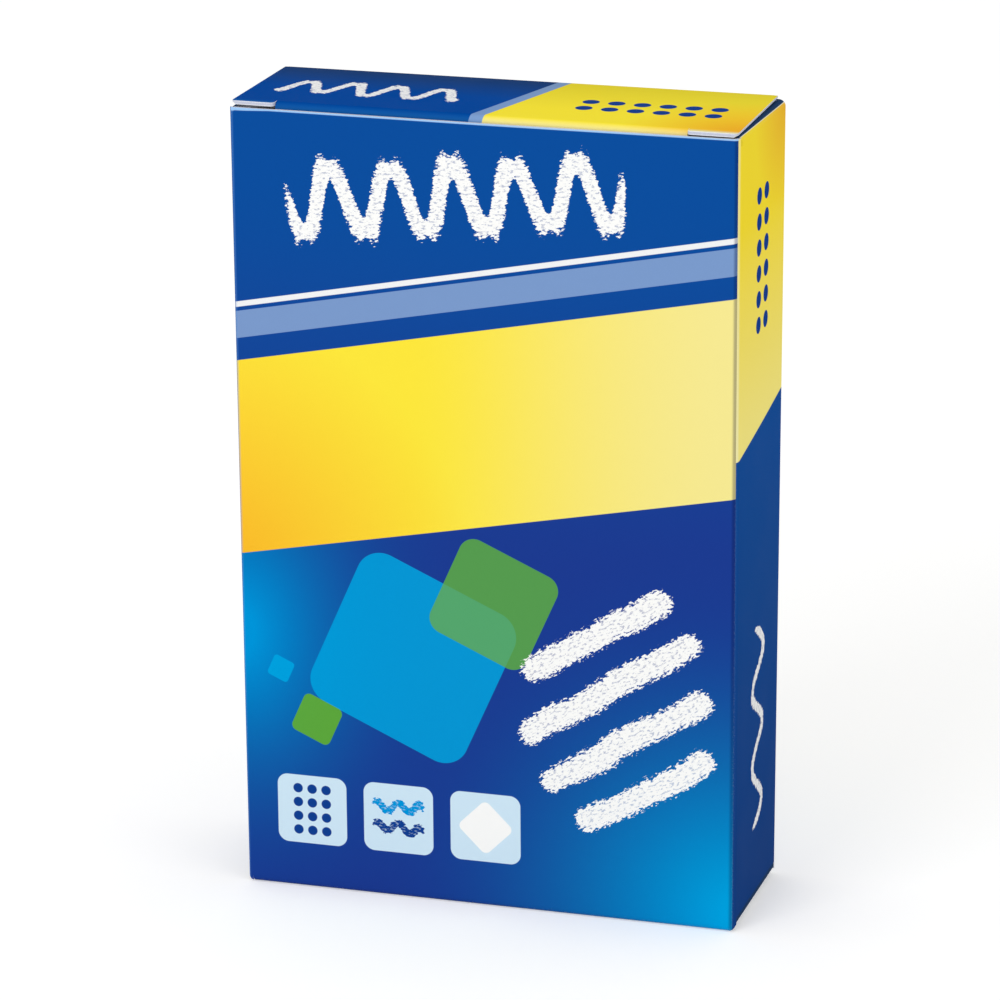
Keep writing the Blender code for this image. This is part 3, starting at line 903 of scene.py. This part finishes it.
# %% Small moves of the board
PANEL_BULGE = 0.18 * MM
CORNER_END = 0.25 * MM
CORNER_LIFT = 0.95 * MM
GLUE_DROP = 0.4 * MM
GLUE_FILM = 0.02 * MM
FRONT_RISE = 0.2 * MM
RISE_FOOT = 100 * MM
FLARE = 0.75 * MM
FLARE_REACH = 5.2 * MM
# Where the flat panels end and the folds of the corners start
in_x = HALF_WIDTH - FOLD_RADIUS
in_y = HALF_DEPTH - FOLD_RADIUS
glue_x = -HALF_WIDTH + BOARD + GLUE_FILM
glue_fold = glue_x + FOLD_RADIUS


def clamp(value):
    """A share held between 0 and 1."""
    return min(max(value, 0), 1)


def same(first, second):
    """Whether two sizes are the same."""
    return abs(first - second) < WELD


def sprung(point):
    """Move the upper back corner of the right panel out, as its crease has sprung open a little."""
    x, y, z = point
    share = clamp(1 - (in_x - x) / FLARE_REACH) * clamp((1 + y / HALF_DEPTH) / 2) * clamp(z / HEIGHT)
    return Vector((x + FLARE * share, y, z))


def bulge(point):
    """Push a panel outwards between its creases, draw up the lower end of the front corners and the upper
    left corner of the front panel, and slope the upper end of the glued corner."""
    x, y, z = point
    rise = math.sin(math.pi * clamp(z / HEIGHT))
    out_y = rise * math.cos(math.pi * x / (2 * HALF_WIDTH)) * (abs(y) / HALF_DEPTH) ** 8
    out_x = rise * math.cos(math.pi * y / (2 * HALF_DEPTH)) * (abs(x) / HALF_WIDTH) ** 24
    lift = CORNER_LIFT * clamp((y + HALF_DEPTH) / FOLD_RADIUS) if same(z, CORNER_END) else 0
    upper = clamp((z - RISE_FOOT) / (FRONT_TOP - RISE_FOOT))
    lift += FRONT_RISE * upper * clamp(-x / HALF_WIDTH) * clamp((-in_y - y) / FOLD_INNER)
    if same(z, HINGE_TOP) and x < 0:
        lift -= GLUE_DROP * clamp((glue_fold - x) / FOLD_RADIUS)
    return sprung((
        x + math.copysign(PANEL_BULGE / 2 * out_x, x),
        y + math.copysign(PANEL_BULGE * out_y, y),
        z + lift,
    ))


print("panels bulge by, mm:", round(PANEL_BULGE / MM, 2))

# %% Runs of the sleeve
GLUE_WIDTH = 11.0 * MM
GLUE_END = 14.0 * MM
SEAM_STEP = 0.35 * MM
CORNER_RUN = 2 * FOLD_RADIUS
low = {"front": HEIGHT - HINGE_TOP, "side": HEIGHT - SIDE_TOP, "back": HEIGHT - FRONT_TOP}
high = {"front": FRONT_TOP, "side": SIDE_TOP, "back": HINGE_TOP}


def panel_run(start, end, inward, run, count):
    """Stations along a flat panel; inward points from the outer to the inner face."""
    stations = []
    for share in spaced(0, 1, count):
        outer = Vector(start).lerp(Vector(end), share)
        length = run + share * (Vector(end) - Vector(start)).length
        stations.append(Station(outer, outer + BOARD * Vector(inward), length))
    return stations


# Each run of the strip: its stations, and the heights of its lower and upper edge
runs = (
    (panel_run((-HALF_WIDTH, HALF_DEPTH - SEAM_STEP), (-HALF_WIDTH, -in_y), (1, 0),
               -HALF_WIDTH - 2 * HALF_DEPTH + SEAM_STEP, 6), low["side"], high["side"]),
    (bend(Vector((-in_x, -in_y)), math.pi, quarter, -HALF_WIDTH - FOLD_RADIUS, CORNER_RUN),
     CORNER_END, high["front"]),
    (panel_run((-in_x, -HALF_DEPTH), (in_x, -HALF_DEPTH), (0, 1), -in_x, 14), low["front"], high["front"]),
    (bend(Vector((in_x, -in_y)), -quarter, quarter, in_x, CORNER_RUN), CORNER_END, high["front"]),
    (panel_run((HALF_WIDTH, -in_y), (HALF_WIDTH, in_y), (-1, 0), HALF_WIDTH + FOLD_RADIUS, 6),
     low["side"], high["side"]),
    (bend(Vector((in_x, in_y)), 0, quarter, HALF_WIDTH + HALF_DEPTH + in_y, CORNER_RUN),
     low["back"], high["side"]),
    (panel_run((in_x, HALF_DEPTH), (glue_fold, HALF_DEPTH), (0, -1), BACK_MIDDLE - in_x, 14),
     low["back"], high["back"]),
    (bend(Vector((glue_fold, in_y)), quarter, quarter, BACK_MIDDLE - glue_x - FOLD_RADIUS, CORNER_RUN),
     low["back"], high["back"]),
    (panel_run((glue_x, in_y), (glue_x, in_y - GLUE_WIDTH), (1, 0),
               BACK_MIDDLE + HALF_WIDTH + FOLD_RADIUS, 3), GLUE_END, HEIGHT - GLUE_END),
)
print("runs of the sleeve:", len(runs))

# %% Sleeve
ends = {*low.values(), *high.values(), CORNER_END, GLUE_END, HEIGHT - GLUE_END}
levels = sorted(ends | set(spaced(8 * MM, 112 * MM, 13)))

cells = []
for path, foot, head in runs:
    heights = [height for height in levels if foot - WELD <= height <= head + WELD]
    cells += strip(path, heights, lambda flat, z: (flat.x, flat.y, z), lambda run, z: (run, z))


def on_sleeve_crease(x, y, z):
    """Whether a flap goes on from this point of the sleeve's edge."""
    on_side = same(abs(x), HALF_WIDTH) and (same(z, low["side"]) or same(z, high["side"]))
    on_front = same(y, -HALF_DEPTH) and same(z, low["front"])
    on_back = same(y, HALF_DEPTH) and same(z, high["back"])
    return on_side or on_front or on_back or same(z, CORNER_END)


sleeve = fold_sheet("sleeve_board", cells, (printed_sleeve, bare_inside, cut_edge), on_sleeve_crease, bulge)
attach(sleeve, "carton")
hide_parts("carton_sleeve")

# %% [markdown]
# ## Lids, tuck flaps and dust flaps
# Both ends close in the same way, so one set of functions makes the upper end, and a half turn about a
# line across the carton gives the lower one. A crease is not a pin: the board bends over a millimetre or
# so. Each flap therefore starts at the cut edge of the panel it hangs on.

# %% Half turn for the lower end
END_TURN = Matrix.Translation((0, 0, HEIGHT)) @ Matrix.Rotation(math.pi, 4, "X")
LID_TILT = 0.2 * MM
TUCK_GAP = 0.35 * MM
TUCK_FACE = -HALF_DEPTH + BOARD + TUCK_GAP
TUCK_START = TUCK_FACE + FOLD_RADIUS
HALF_LID = lid_high.x


def end_point(point, lower):
    """A point of the upper end, or its place at the lower end."""
    return END_TURN @ Vector(point) if lower else Vector(point)


def settle(lower):
    """Lift the front left of the upper lid by a hair and lower its right, as a lid that was pushed in on one
    side sits; turn the lower end."""
    def move(point):
        if lower:
            return end_point(point, lower)
        ahead = clamp((HALF_DEPTH - point[1]) / (HALF_DEPTH - TUCK_START))
        aside = clamp((point[0] + HALF_LID) / (2 * HALF_LID))
        return Vector((point[0], point[1], point[2] + LID_TILT * ahead * (1 - 2 * aside)))
    return move


def crease_start(foot, finish):
    """Where a crease starts to turn: beyond the foot, so that both faces of the board stay on the panel."""
    way = (finish - foot).normalized()
    return foot + way * BOARD * abs(way.x)


def blank_of_lid(lower):
    """Place on the blank of a run beyond the hinge: over the back panel, or under the front panel."""
    if lower:
        return lambda run, x: (x, HEIGHT - HINGE_TOP - run)
    return lambda run, x: (BACK_MIDDLE - x, HINGE_TOP + run)


print("lid, mm:", round(2 * HALF_LID / MM, 2))

# %% [markdown]
# A slit at each end of the fold leaves a tab of the lid outside it. The two tabs stay flat when the tuck
# flap goes down, and on a real carton the slits catch on the dust flaps, so the lid doesn't spring open.
# A lid with a plain fold would lack this lock, so places across the lid are listed outside the slits and
# between them.

# %% Slits beside the fold of the tuck flap
SLIT_LENGTH = 7.2 * MM
SLIT_SHIFT = -0.5 * MM
HALF_SLIT = HALF_WIDTH - SLIT_LENGTH
HALF_FOLD = HALF_SLIT - 0.08 * MM


def slit_places(outside, half_fold):
    """Places across the lid: those outside each slit, and even steps over the fold between the slits."""
    left = [SLIT_SHIFT - outside[0]] + [-x for x in outside[1:]]
    fold = spaced(SLIT_SHIFT - half_fold, SLIT_SHIFT + half_fold, 14)
    return left[::-1] + fold + [SLIT_SHIFT + outside[0]] + outside[1:]


def on_fold(x):
    """Whether a place across the lid lies between the slits."""
    return abs(x - SLIT_SHIFT) < HALF_FOLD + WELD


print("slits, mm:", round((HALF_LID - HALF_SLIT) / MM, 2))

# %% Lids
TAB_EDGE = lid_low.y
TAB_ROUND = 0.55 * MM
TAB_DRAWN = 0.85
CRUSHED = 0.55
LOWER_TRIM = 0.45 * MM


def build_lid(end, lower, print_material):
    """Lid with its hinge crease and a tab outside each slit."""
    centre = Vector((HALF_DEPTH - FOLD_RADIUS, HEIGHT - FOLD_RADIUS))
    foot = Vector((HALF_DEPTH, HINGE_TOP))
    path = [Station(foot, foot - Vector((BOARD, 0)), 0)] + bend(centre, 0, quarter, CREASE_GAP)
    path += [moved(path[-1], share * (centre.x - TUCK_START)) for share in spaced(0, 1, 8)[1:]]
    straight = TUCK_START - TAB_EDGE - TAB_ROUND
    rounding = [straight + TAB_ROUND * math.sin(quarter * step / 4) for step in range(5)]
    tab = [path[-1]] + [moved(path[-1], ahead) for ahead in rounding]
    half_lid = HALF_LID - LOWER_TRIM if lower else HALF_LID
    places = slit_places([HALF_SLIT, (HALF_SLIT + in_x) / 2, in_x, half_lid], HALF_FOLD)

    def point(flat, x):
        past = max(TAB_ROUND - (flat.x - TAB_EDGE), 0)
        drawn = TAB_ROUND - math.sqrt(max(TAB_ROUND ** 2 - past ** 2, 0))
        if same(abs(x - SLIT_SHIFT), HALF_SLIT):
            x += math.copysign(drawn, x)
        elif same(abs(x), half_lid):
            x -= math.copysign(drawn * min(TAB_DRAWN * (half_lid - in_x) / TAB_ROUND, 1), x)
        return (x, flat.x, flat.y)

    def crushed(x):
        return CRUSHED if same(abs(x), half_lid) else 1

    def on_crease(x, y, z):
        at_tuck = same(y, TUCK_START) and same(z, HEIGHT) and on_fold(x)
        return at_tuck or (same(y, HALF_DEPTH) and same(z, HINGE_TOP))

    flat = blank_of_lid(lower)
    creased = [x for x in places if abs(x) < in_x + WELD]
    cells = strip(path[:FOLD_STEPS + 2], creased, point, flat)
    cells += strip(path[FOLD_STEPS + 1:], places, point, flat, crushed)
    for tab_places in (places[:4], places[-4:]):
        cells += strip(tab, tab_places, point, flat, crushed)
    materials = (print_material, bare_inside, cut_edge)
    lid = fold_sheet(f"{end}_lid_board", cells, materials, on_crease, settle(lower))
    finish = Vector((centre.x, HEIGHT))
    begin = crease_start(foot, finish)
    end_point((0, *begin), lower)
    end_point((0, *finish), lower)
    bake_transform(lid)
    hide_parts(f"{end}_lid")


build_lid("top", False, printed_lid)
build_lid("bottom", True, printed_sleeve)

# %% [markdown]
# The tuck flap folds down between the slits, and below the lid it widens to shoulders that sit behind the
# front panel. Its lower corners are rounded and it leans in a little, so that it finds its way past the
# panel. It starts at the lid's own stations, so the two pieces meet along one line.

# %% Tuck flaps
# The plate below the shoulder, short enough to clear the crayons as they slide up
TUCK_LENGTH = 9.5 * MM
TUCK_CORNER = 5.0 * MM
TUCK_LEAN = math.radians(5.2)
SHOULDER_DROP = 0.5 * MM
HALF_TUCK = in_x - 0.3 * MM


def build_tuck(end, lower, print_material):
    """Tuck flap: a fold between the slits, then a leaning plate with rounded lower corners."""
    centre = Vector((TUCK_START, HEIGHT - FOLD_RADIUS))
    lid_run = CREASE_GAP + FOLD_RUN + HALF_DEPTH - FOLD_RADIUS - TUCK_START
    fold = bend(centre, quarter, quarter + TUCK_LEAN, lid_run)
    down = Vector((math.sin(TUCK_LEAN), -math.cos(TUCK_LEAN)))
    shoulder = (fold[-1].outer.y - HINGE_TOP + SHOULDER_DROP) / math.cos(TUCK_LEAN)
    straight = HALF_TUCK - TUCK_CORNER
    rounding = [straight + TUCK_CORNER * math.sin(quarter * step / 6) for step in range(7)]
    outside = [HALF_SLIT] + rounding
    places = slit_places(outside, HALF_FOLD)
    flat = blank_of_lid(lower)

    def plate_length(x):
        past = max(abs(x) - straight, 0)
        return shoulder + TUCK_LENGTH - TUCK_CORNER + math.sqrt(max(TUCK_CORNER ** 2 - past ** 2, 0))

    def corner(share, x):
        length = shoulder + (plate_length(x) - shoulder) * share if share >= 0 else 0
        outer = fold[-1].outer + down * length
        inner = fold[-1].inner + down * length
        return (x, outer.x, outer.y), (x, inner.x, inner.y), flat(fold[-1].run + length, x)

    def on_crease(x, y, z):
        return same(y, TUCK_START) and same(z, HEIGHT)

    cells = strip(fold, places[len(outside):-len(outside)], lambda at, x: (x, at.x, at.y), flat)
    for left, other in zip(places, places[1:]):
        shares = spaced(0, 1, 5)
        if on_fold(left) and on_fold(other):
            shares = [-1] + shares
        cells += grid(shares, (left, other), corner)
    materials = (print_material, bare_inside, cut_edge)
    tuck = fold_sheet(f"{end}_tuck_board", cells, materials, on_crease, settle(lower))
    begin = (0, TUCK_FACE, HINGE_TOP + 1.5 * CREASE_GAP)
    end_point(begin, lower)
    end_point((0, TUCK_FACE, HINGE_TOP), lower)
    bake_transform(tuck)
    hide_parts(f"{end}_tuck_flap")


build_tuck("top", False, printed_lid)
build_tuck("bottom", True, printed_sleeve)

# %% [markdown]
# The dust flaps hang on the side panels and close each end under the lid. Each begins as a strip along its
# crease and goes on as a narrower plate. The plate tapers, more at the back than at the front, which keeps
# it clear of the lid's crease and of the tuck flap.

# %% Sizes of a dust flap
DUST_LENGTH = 21.0 * MM
DUST_CORNER = 3.0 * MM
DUST_FRONT = -HALF_DEPTH + 2 * BOARD + 1.3 * MM
DUST_BACK = HALF_DEPTH - BOARD - 0.75 * MM
DUST_STRIP_FRONT = -HALF_DEPTH + FOLD_RADIUS + CREASE_GAP
DUST_STRIP_BACK = HALF_DEPTH - 0.3 * MM
DUST_FACE = HEIGHT - BOARD - 0.08 * MM
DUST_SHOULDER = 0.6 * MM
DUST_FRONT_TAPER = math.tan(math.radians(7))
DUST_BACK_TAPER = math.tan(math.radians(24.5))
print("dust flap at its crease, mm:", round((DUST_BACK - DUST_FRONT) / MM, 2))


# %% Dust flaps
def build_dust(end, name, side, lower):
    """Dust flap with its crease along a side panel and a tapered plate with rounded corners."""
    centre = Vector((HALF_WIDTH - FOLD_RADIUS, DUST_FACE - FOLD_RADIUS))
    foot = Vector((HALF_WIDTH, SIDE_TOP))
    path = [Station(foot, foot - Vector((BOARD, 0)), 0)] + bend(centre, 0, quarter, centre.y - foot.y)
    base = HEIGHT - SIDE_TOP if lower else SIDE_TOP
    grow = -1 if lower else 1

    def point(flat, y):
        past = max(y - in_y, 0)
        drawn = FOLD_RADIUS - math.sqrt(FOLD_RADIUS ** 2 - past ** 2)
        return (side * (flat.x - drawn), y, flat.y)

    def flat(run, y):
        return (side * (SIDE_MIDDLE + grow * y), base + grow * run)

    def corner(out, share):
        past = max(out - (DUST_LENGTH - DUST_CORNER), 0)
        drawn = DUST_CORNER - math.sqrt(max(DUST_CORNER ** 2 - past ** 2, 0))
        front = DUST_FRONT + out * DUST_FRONT_TAPER + drawn
        rear = DUST_BACK - out * DUST_BACK_TAPER - drawn
        y = front + (rear - front) * share
        here = moved(path[-1], out)
        return point(here.outer, y), point(here.inner, y), flat(here.run, y)

    shares = spaced(0, 1, 8)
    across = [DUST_FRONT + (DUST_BACK - DUST_FRONT) * share for share in shares]
    back_end = [in_y - WELD / 2] if lower else spaced(in_y, DUST_STRIP_BACK, 4)
    cells = strip(path, [DUST_STRIP_FRONT] + across + back_end, point, flat)
    if side > 0 and not lower:
        # Where the crease stands off, a narrow shoulder of the flap goes on under the lid
        cells += strip([path[-1], moved(path[-1], DUST_SHOULDER)], [across[-1]] + back_end, point, flat)
    ends = [DUST_LENGTH - DUST_CORNER + DUST_CORNER * math.sin(quarter * step / 6) for step in range(1, 7)]
    outs = spaced(0, DUST_LENGTH - DUST_CORNER, 6) + ends
    cells += grid(outs, shares, corner)

    def on_crease(x, y, z):
        at_end = same(y, DUST_STRIP_FRONT) or same(y, back_end[-1])
        return at_end or (abs(x) > in_x and same(z, SIDE_TOP))

    flap = fold_sheet(f"{end}_dust_board_{name}", cells, (printed_flap, bare_inside, cut_edge), on_crease,
                      lambda at: sprung(end_point(at, lower)))
    finish = Vector((centre.x, DUST_FACE))
    begin = crease_start(foot, finish)
    end_point((side * begin.x, 0, begin.y), lower)
    end_point((side * finish.x, 0, finish.y), lower)
    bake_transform(flap)
    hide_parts(f"{end}_dust_flap_{name}")


for end, lower in (("top", False), ("bottom", True)):
    build_dust(end, "left", -1, lower)
    build_dust(end, "right", 1, lower)

# %% [markdown]
# ## Wax sticks
# A marking crayon is a thick stick of pigmented wax, cast in a tube and turned to a blunt cone. The wax
# is opaque white with a soft, slightly greasy sheen, and it lets a little light in. Casting leaves it
# faintly cloudy, with fine scuffs from the neighbours in the box.

# %% Wax finish
CLOUD = 4.0 * MM
SCUFF = 0.5 * MM
SCUFF_DEPTH = 0.03 * MM
LIGHT_DEPTH = 0.8 * MM

white_wax, tree = open_material("cast_white_wax")
place = add_node(tree, "TexCoord").outputs["Object"]
cloud = add_node(tree, "TexNoise", {"Vector": place, "Scale": 1 / CLOUD, "Detail": 3.0})
tone = add_node(tree, "Mix", {0: cloud, 6: "#F3F2ED", 7: "#FEFEFB"}, data_type="RGBA").outputs[2]
scuff = add_node(tree, "TexNoise", {"Vector": place, "Scale": 1 / SCUFF, "Detail": 4.0, "Roughness": 0.7})
rough = add_node(tree, "MapRange", {"Value": scuff, "To Min": 0.38, "To Max": 0.62})
bump = add_node(tree, "Bump", {"Height": scuff, "Distance": SCUFF_DEPTH, "Strength": 1.0})
close_material(tree, {
    "Base Color": tone, "Roughness": rough, "Normal": bump, "IOR": 1.44, "Subsurface Weight": 0.25,
    "Subsurface Radius": (1.0, 0.9, 0.8), "Subsurface Scale": LIGHT_DEPTH})

# %% [markdown]
# The stick follows a rule: a circle swept up a line, whose radius depends on the height. So a Geometry
# Nodes tree makes it, with the sizes as inputs. A smooth minimum of the shaft, the cone and the rounded
# end gives soft shoulders, and seeded noise makes each casting a little uneven.

# %% Rings of the wax stick
SHAFT_RINGS = 56
WAX_SIZES = {"Radius": "Float", "Length": "Float", "Cone Length": "Float", "Tip Radius": "Float",
             "Edge Round": "Float", "Place": "Vector", "Seed": "Float", "Wax": "Material"}

wax_tree = bpy.data.node_groups.new("turned_wax_stick", "GeometryNodeTree")
for socket, kind in WAX_SIZES.items():
    wax_tree.interface.new_socket(socket, in_out="INPUT", socket_type=f"NodeSocket{kind}")
wax_tree.interface.new_socket("Geometry", in_out="OUTPUT", socket_type="NodeSocketGeometry")
given = add_node(wax_tree, "GroupInput").outputs
line = add_node(wax_tree, "CurvePrimitiveLine")
rings = add_node(wax_tree, "ResampleCurve", {"Curve": line, "Count": SHAFT_RINGS})
share = add_node(wax_tree, "SplineParameter").outputs["Factor"]

# Height of a ring: close rings at the foot, a long shaft, close rings on the cone
shaft_end = given["Length"]
for size in ("Cone Length", "Edge Round"):
    shaft_end = add_node(wax_tree, "Math", (shaft_end, given[size]), operation="SUBTRACT")
shaft = add_node(wax_tree, "Math", (shaft_end, given["Edge Round"]), operation="SUBTRACT")
cone = add_node(wax_tree, "Math", (given["Length"], shaft_end), operation="SUBTRACT")
height = 0.0
for start, finish, rise in ((0.0, 0.15, given["Edge Round"]), (0.15, 0.35, shaft), (0.35, 1.0, cone)):
    rise = add_node(wax_tree, "MapRange", {
        "Value": share, "From Min": start, "From Max": finish, "To Max": rise})
    height = add_node(wax_tree, "Math", (height, rise), operation="ADD")
where = add_node(wax_tree, "CombineXYZ", {"Z": height})
rings = add_node(wax_tree, "SetPosition", {"Geometry": rings, "Position": where})
print("rings of a stick:", SHAFT_RINGS)

# %% Radius of the wax stick
# The least of the shaft and the cone, drawn in at the foot and the tip
spot = add_node(wax_tree, "InputPosition")
height = add_node(wax_tree, "SeparateXYZ", (spot,)).outputs["Z"]
below = add_node(wax_tree, "Math", (given["Length"], height), operation="SUBTRACT")
slope = add_node(wax_tree, "Math", (given["Radius"], given["Tip Radius"]), operation="SUBTRACT")
slope = add_node(wax_tree, "Math", (slope, given["Cone Length"]), operation="DIVIDE")
radius = add_node(wax_tree, "Math", (below, slope, given["Tip Radius"]), operation="MULTIPLY_ADD")
radius = add_node(wax_tree, "Math", (radius, given["Radius"], given["Edge Round"]), operation="SMOOTH_MIN")
whole = add_node(wax_tree, "Math", (given["Edge Round"], given["Edge Round"]), operation="MULTIPLY")
for depth in (height, below):
    left = add_node(wax_tree, "Math", (given["Edge Round"], depth), operation="SUBTRACT")
    left = add_node(wax_tree, "Math", (left, 0.0), operation="MAXIMUM")
    square = add_node(wax_tree, "Math", (left, left), operation="MULTIPLY")
    rest = add_node(wax_tree, "Math", (whole, square), operation="SUBTRACT")
    for operation, *size in (("MAXIMUM", 0.0), ("SQRT",)):
        rest = add_node(wax_tree, "Math", (rest, *size), operation=operation)
    drawn = add_node(wax_tree, "Math", (given["Edge Round"], rest), operation="SUBTRACT")
    radius = add_node(wax_tree, "Math", (radius, drawn), operation="SUBTRACT")
print("tree nodes so far:", len(wax_tree.nodes))

# %% Surface of the wax stick
SHAFT_SIDES = 48
UNEVEN = 0.05 * MM
UNEVEN_SIZE = 6 * MM

circle = add_node(wax_tree, "CurvePrimitiveCircle", {"Resolution": SHAFT_SIDES, "Radius": 1.0})
stick = add_node(wax_tree, "CurveToMesh", {
    "Curve": rings, "Profile Curve": circle, "Scale": radius, "Fill Caps": True})
waves = add_node(wax_tree, "TexNoise", {
    "Vector": spot, "W": given["Seed"], "Scale": 1 / UNEVEN_SIZE}, noise_dimensions="4D")
waves = add_node(wax_tree, "MapRange", {"Value": waves, "To Min": -UNEVEN, "To Max": 0.0})
out = add_node(wax_tree, "InputNormal")
offset = add_node(wax_tree, "VectorMath", {0: out, "Scale": waves}, operation="SCALE")
offset = add_node(wax_tree, "VectorMath", (offset, given["Place"]), operation="ADD")
for kind, inputs in (("SetPosition", {"Offset": offset}), ("SetShadeSmooth", {}), ("RealizeInstances", {}),
                     ("SetMaterial", {"Material": given["Wax"]})):
    stick = add_node(wax_tree, kind, {"Geometry": stick, **inputs})
add_node(wax_tree, "GroupOutput", {"Geometry": stick})
print("wax tree nodes:", len(wax_tree.nodes))

# %% Wax sticks, one mesh for each body
CRAYON_COUNT = 12
CONE_LENGTH = 8.2 * MM
TIP_RADIUS = 1.5 * MM
EDGE_ROUND = 0.6 * MM


def set_inputs(modifier, values):
    """Set the inputs of a Geometry Nodes modifier by the identifiers of their sockets."""
    for item in modifier.node_group.interface.items_tree:
        if item.in_out == "INPUT" and item.name in values:
            modifier[item.identifier] = values[item.name]


for number in range(1, CRAYON_COUNT + 1):
    wax_low, wax_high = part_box(f"crayon_wax_{number:02d}")
    draft = bpy.data.objects.new("wax_draft", bpy.data.meshes.new("wax_draft"))
    modifier = draft.modifiers.new("stick", "NODES")
    modifier.node_group = wax_tree
    set_inputs(modifier, {
        "Radius": (wax_high.x - wax_low.x) / 2, "Length": wax_high.z - wax_low.z, "Cone Length": CONE_LENGTH,
        "Tip Radius": TIP_RADIUS, "Edge Round": EDGE_ROUND, "Seed": float(number), "Wax": white_wax,
        "Place": ((wax_low.x + wax_high.x) / 2, (wax_low.y + wax_high.y) / 2, wax_low.z),
    })
    scene.collection.objects.link(draft)
    stick = keep_mesh(f"wax_stick_{number:02d}", draft)
    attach(stick, f"crayon_{number:02d}")
    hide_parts(f"crayon_wax_{number:02d}")

# %% [markdown]
# ## Paper wrappers
# Each stick is wound once in printed paper, which keeps the hand clean. The paper overlaps itself in a
# glued seam along the crayon, so the tube is a spiral and not a ring. The sheet builder makes it from the
# same kind of cells, and the blank map gives the print its place round and along the tube. Its matt
# fibres are drawn coarser than real ones, so that they show.

# %% Wrapper finish
PAPER_FIBRE = 1 / 2.2
PAPER_DEPTH = 0.015 * MM
BARE_FIBRE = 1 / 3
WRAP_REACH = 100

wrapper_low, wrapper_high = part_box("crayon_wrapper_01")
length = (wrapper_high.z - wrapper_low.z) / MM
wrapper_print, tree = open_material("printed_wrapper_paper")
place = blank_place(tree)
fibre = add_node(tree, "TexNoise", {
    "Vector": place, "Scale": 1 / PAPER_FIBRE, "Detail": 4.0, "Roughness": 0.65}, noise_dimensions="2D")
colour = add_node(tree, "Mix", {0: fibre, 6: "#22307F", 7: "#2B3C93"}, data_type="RGBA").outputs[2]
# Each band: its place along the wrapper and half width in mm, and ink
colour = print_shapes(tree, place, colour, [
    (ink_block, ink, 0.95, (0, at), 0, {"Half Size": (WRAP_REACH, half, 1)})
    for at, half, ink in (
        (4.0, 0.9, "white"), (6.4, 0.35, "sky"), (length - 4.0, 0.9, "white"), (length - 6.4, 0.35, "sky"))
])
bump = add_node(tree, "Bump", {"Height": fibre, "Distance": PAPER_DEPTH, "Strength": 1.0})
close_material(tree, {"Base Color": colour, "Roughness": 0.58, "Normal": bump})

paper_edge, tree = open_material("bare_wrapper_paper")
fibre = add_node(tree, "TexNoise", {
    "Vector": blank_place(tree), "Scale": 1 / BARE_FIBRE, "Detail": 4.0, "Roughness": 0.7},
    noise_dimensions="2D")
colour = add_node(tree, "Mix", {0: fibre, 6: "#E3E1DA", 7: "#F6F5F1"}, data_type="RGBA").outputs[2]
close_material(tree, {"Base Color": colour, "Roughness": 0.8})

# %% Wrappers, one mesh for each body
PAPER = 0.12 * MM
PAPER_AIR = 0.02 * MM
SEAM = math.radians(38)
LIFT = math.radians(14)
WRAP_STEPS = 60
WRAPPER_SEED = 7
random.seed(WRAPPER_SEED)

for number in range(1, CRAYON_COUNT + 1):
    wrapper_low, wrapper_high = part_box(f"crayon_wrapper_{number:02d}")
    axis = (wrapper_low + wrapper_high) / 2
    outer_radius = (wrapper_high.x - wrapper_low.x) / 2
    inner_radius = outer_radius - 2 * PAPER - PAPER_AIR
    first_angle = random.uniform(0, math.tau)
    path = []
    for share in spaced(0, 1, WRAP_STEPS):
        angle = share * (math.tau + SEAM)
        climb = clamp((angle - math.tau + LIFT) / LIFT)
        lift = (PAPER + PAPER_AIR) * climb * climb * (3 - 2 * climb)
        way = Vector((math.cos(first_angle + angle), math.sin(first_angle + angle)))
        under = Vector((axis.x, axis.y)) + way * (inner_radius + lift)
        path.append(Station(under + way * PAPER, under, angle * outer_radius))
    foot = wrapper_low.z
    cells = strip(path, spaced(wrapper_low.z, wrapper_high.z, 2), lambda flat, z: (flat.x, flat.y, z),
                  lambda run, z: (run, z - foot))
    wrapper = fold_sheet(f"wrapper_{number:02d}", cells, (wrapper_print, paper_edge, paper_edge))
    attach(wrapper, f"crayon_{number:02d}")
    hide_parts(f"crayon_wrapper_{number:02d}")
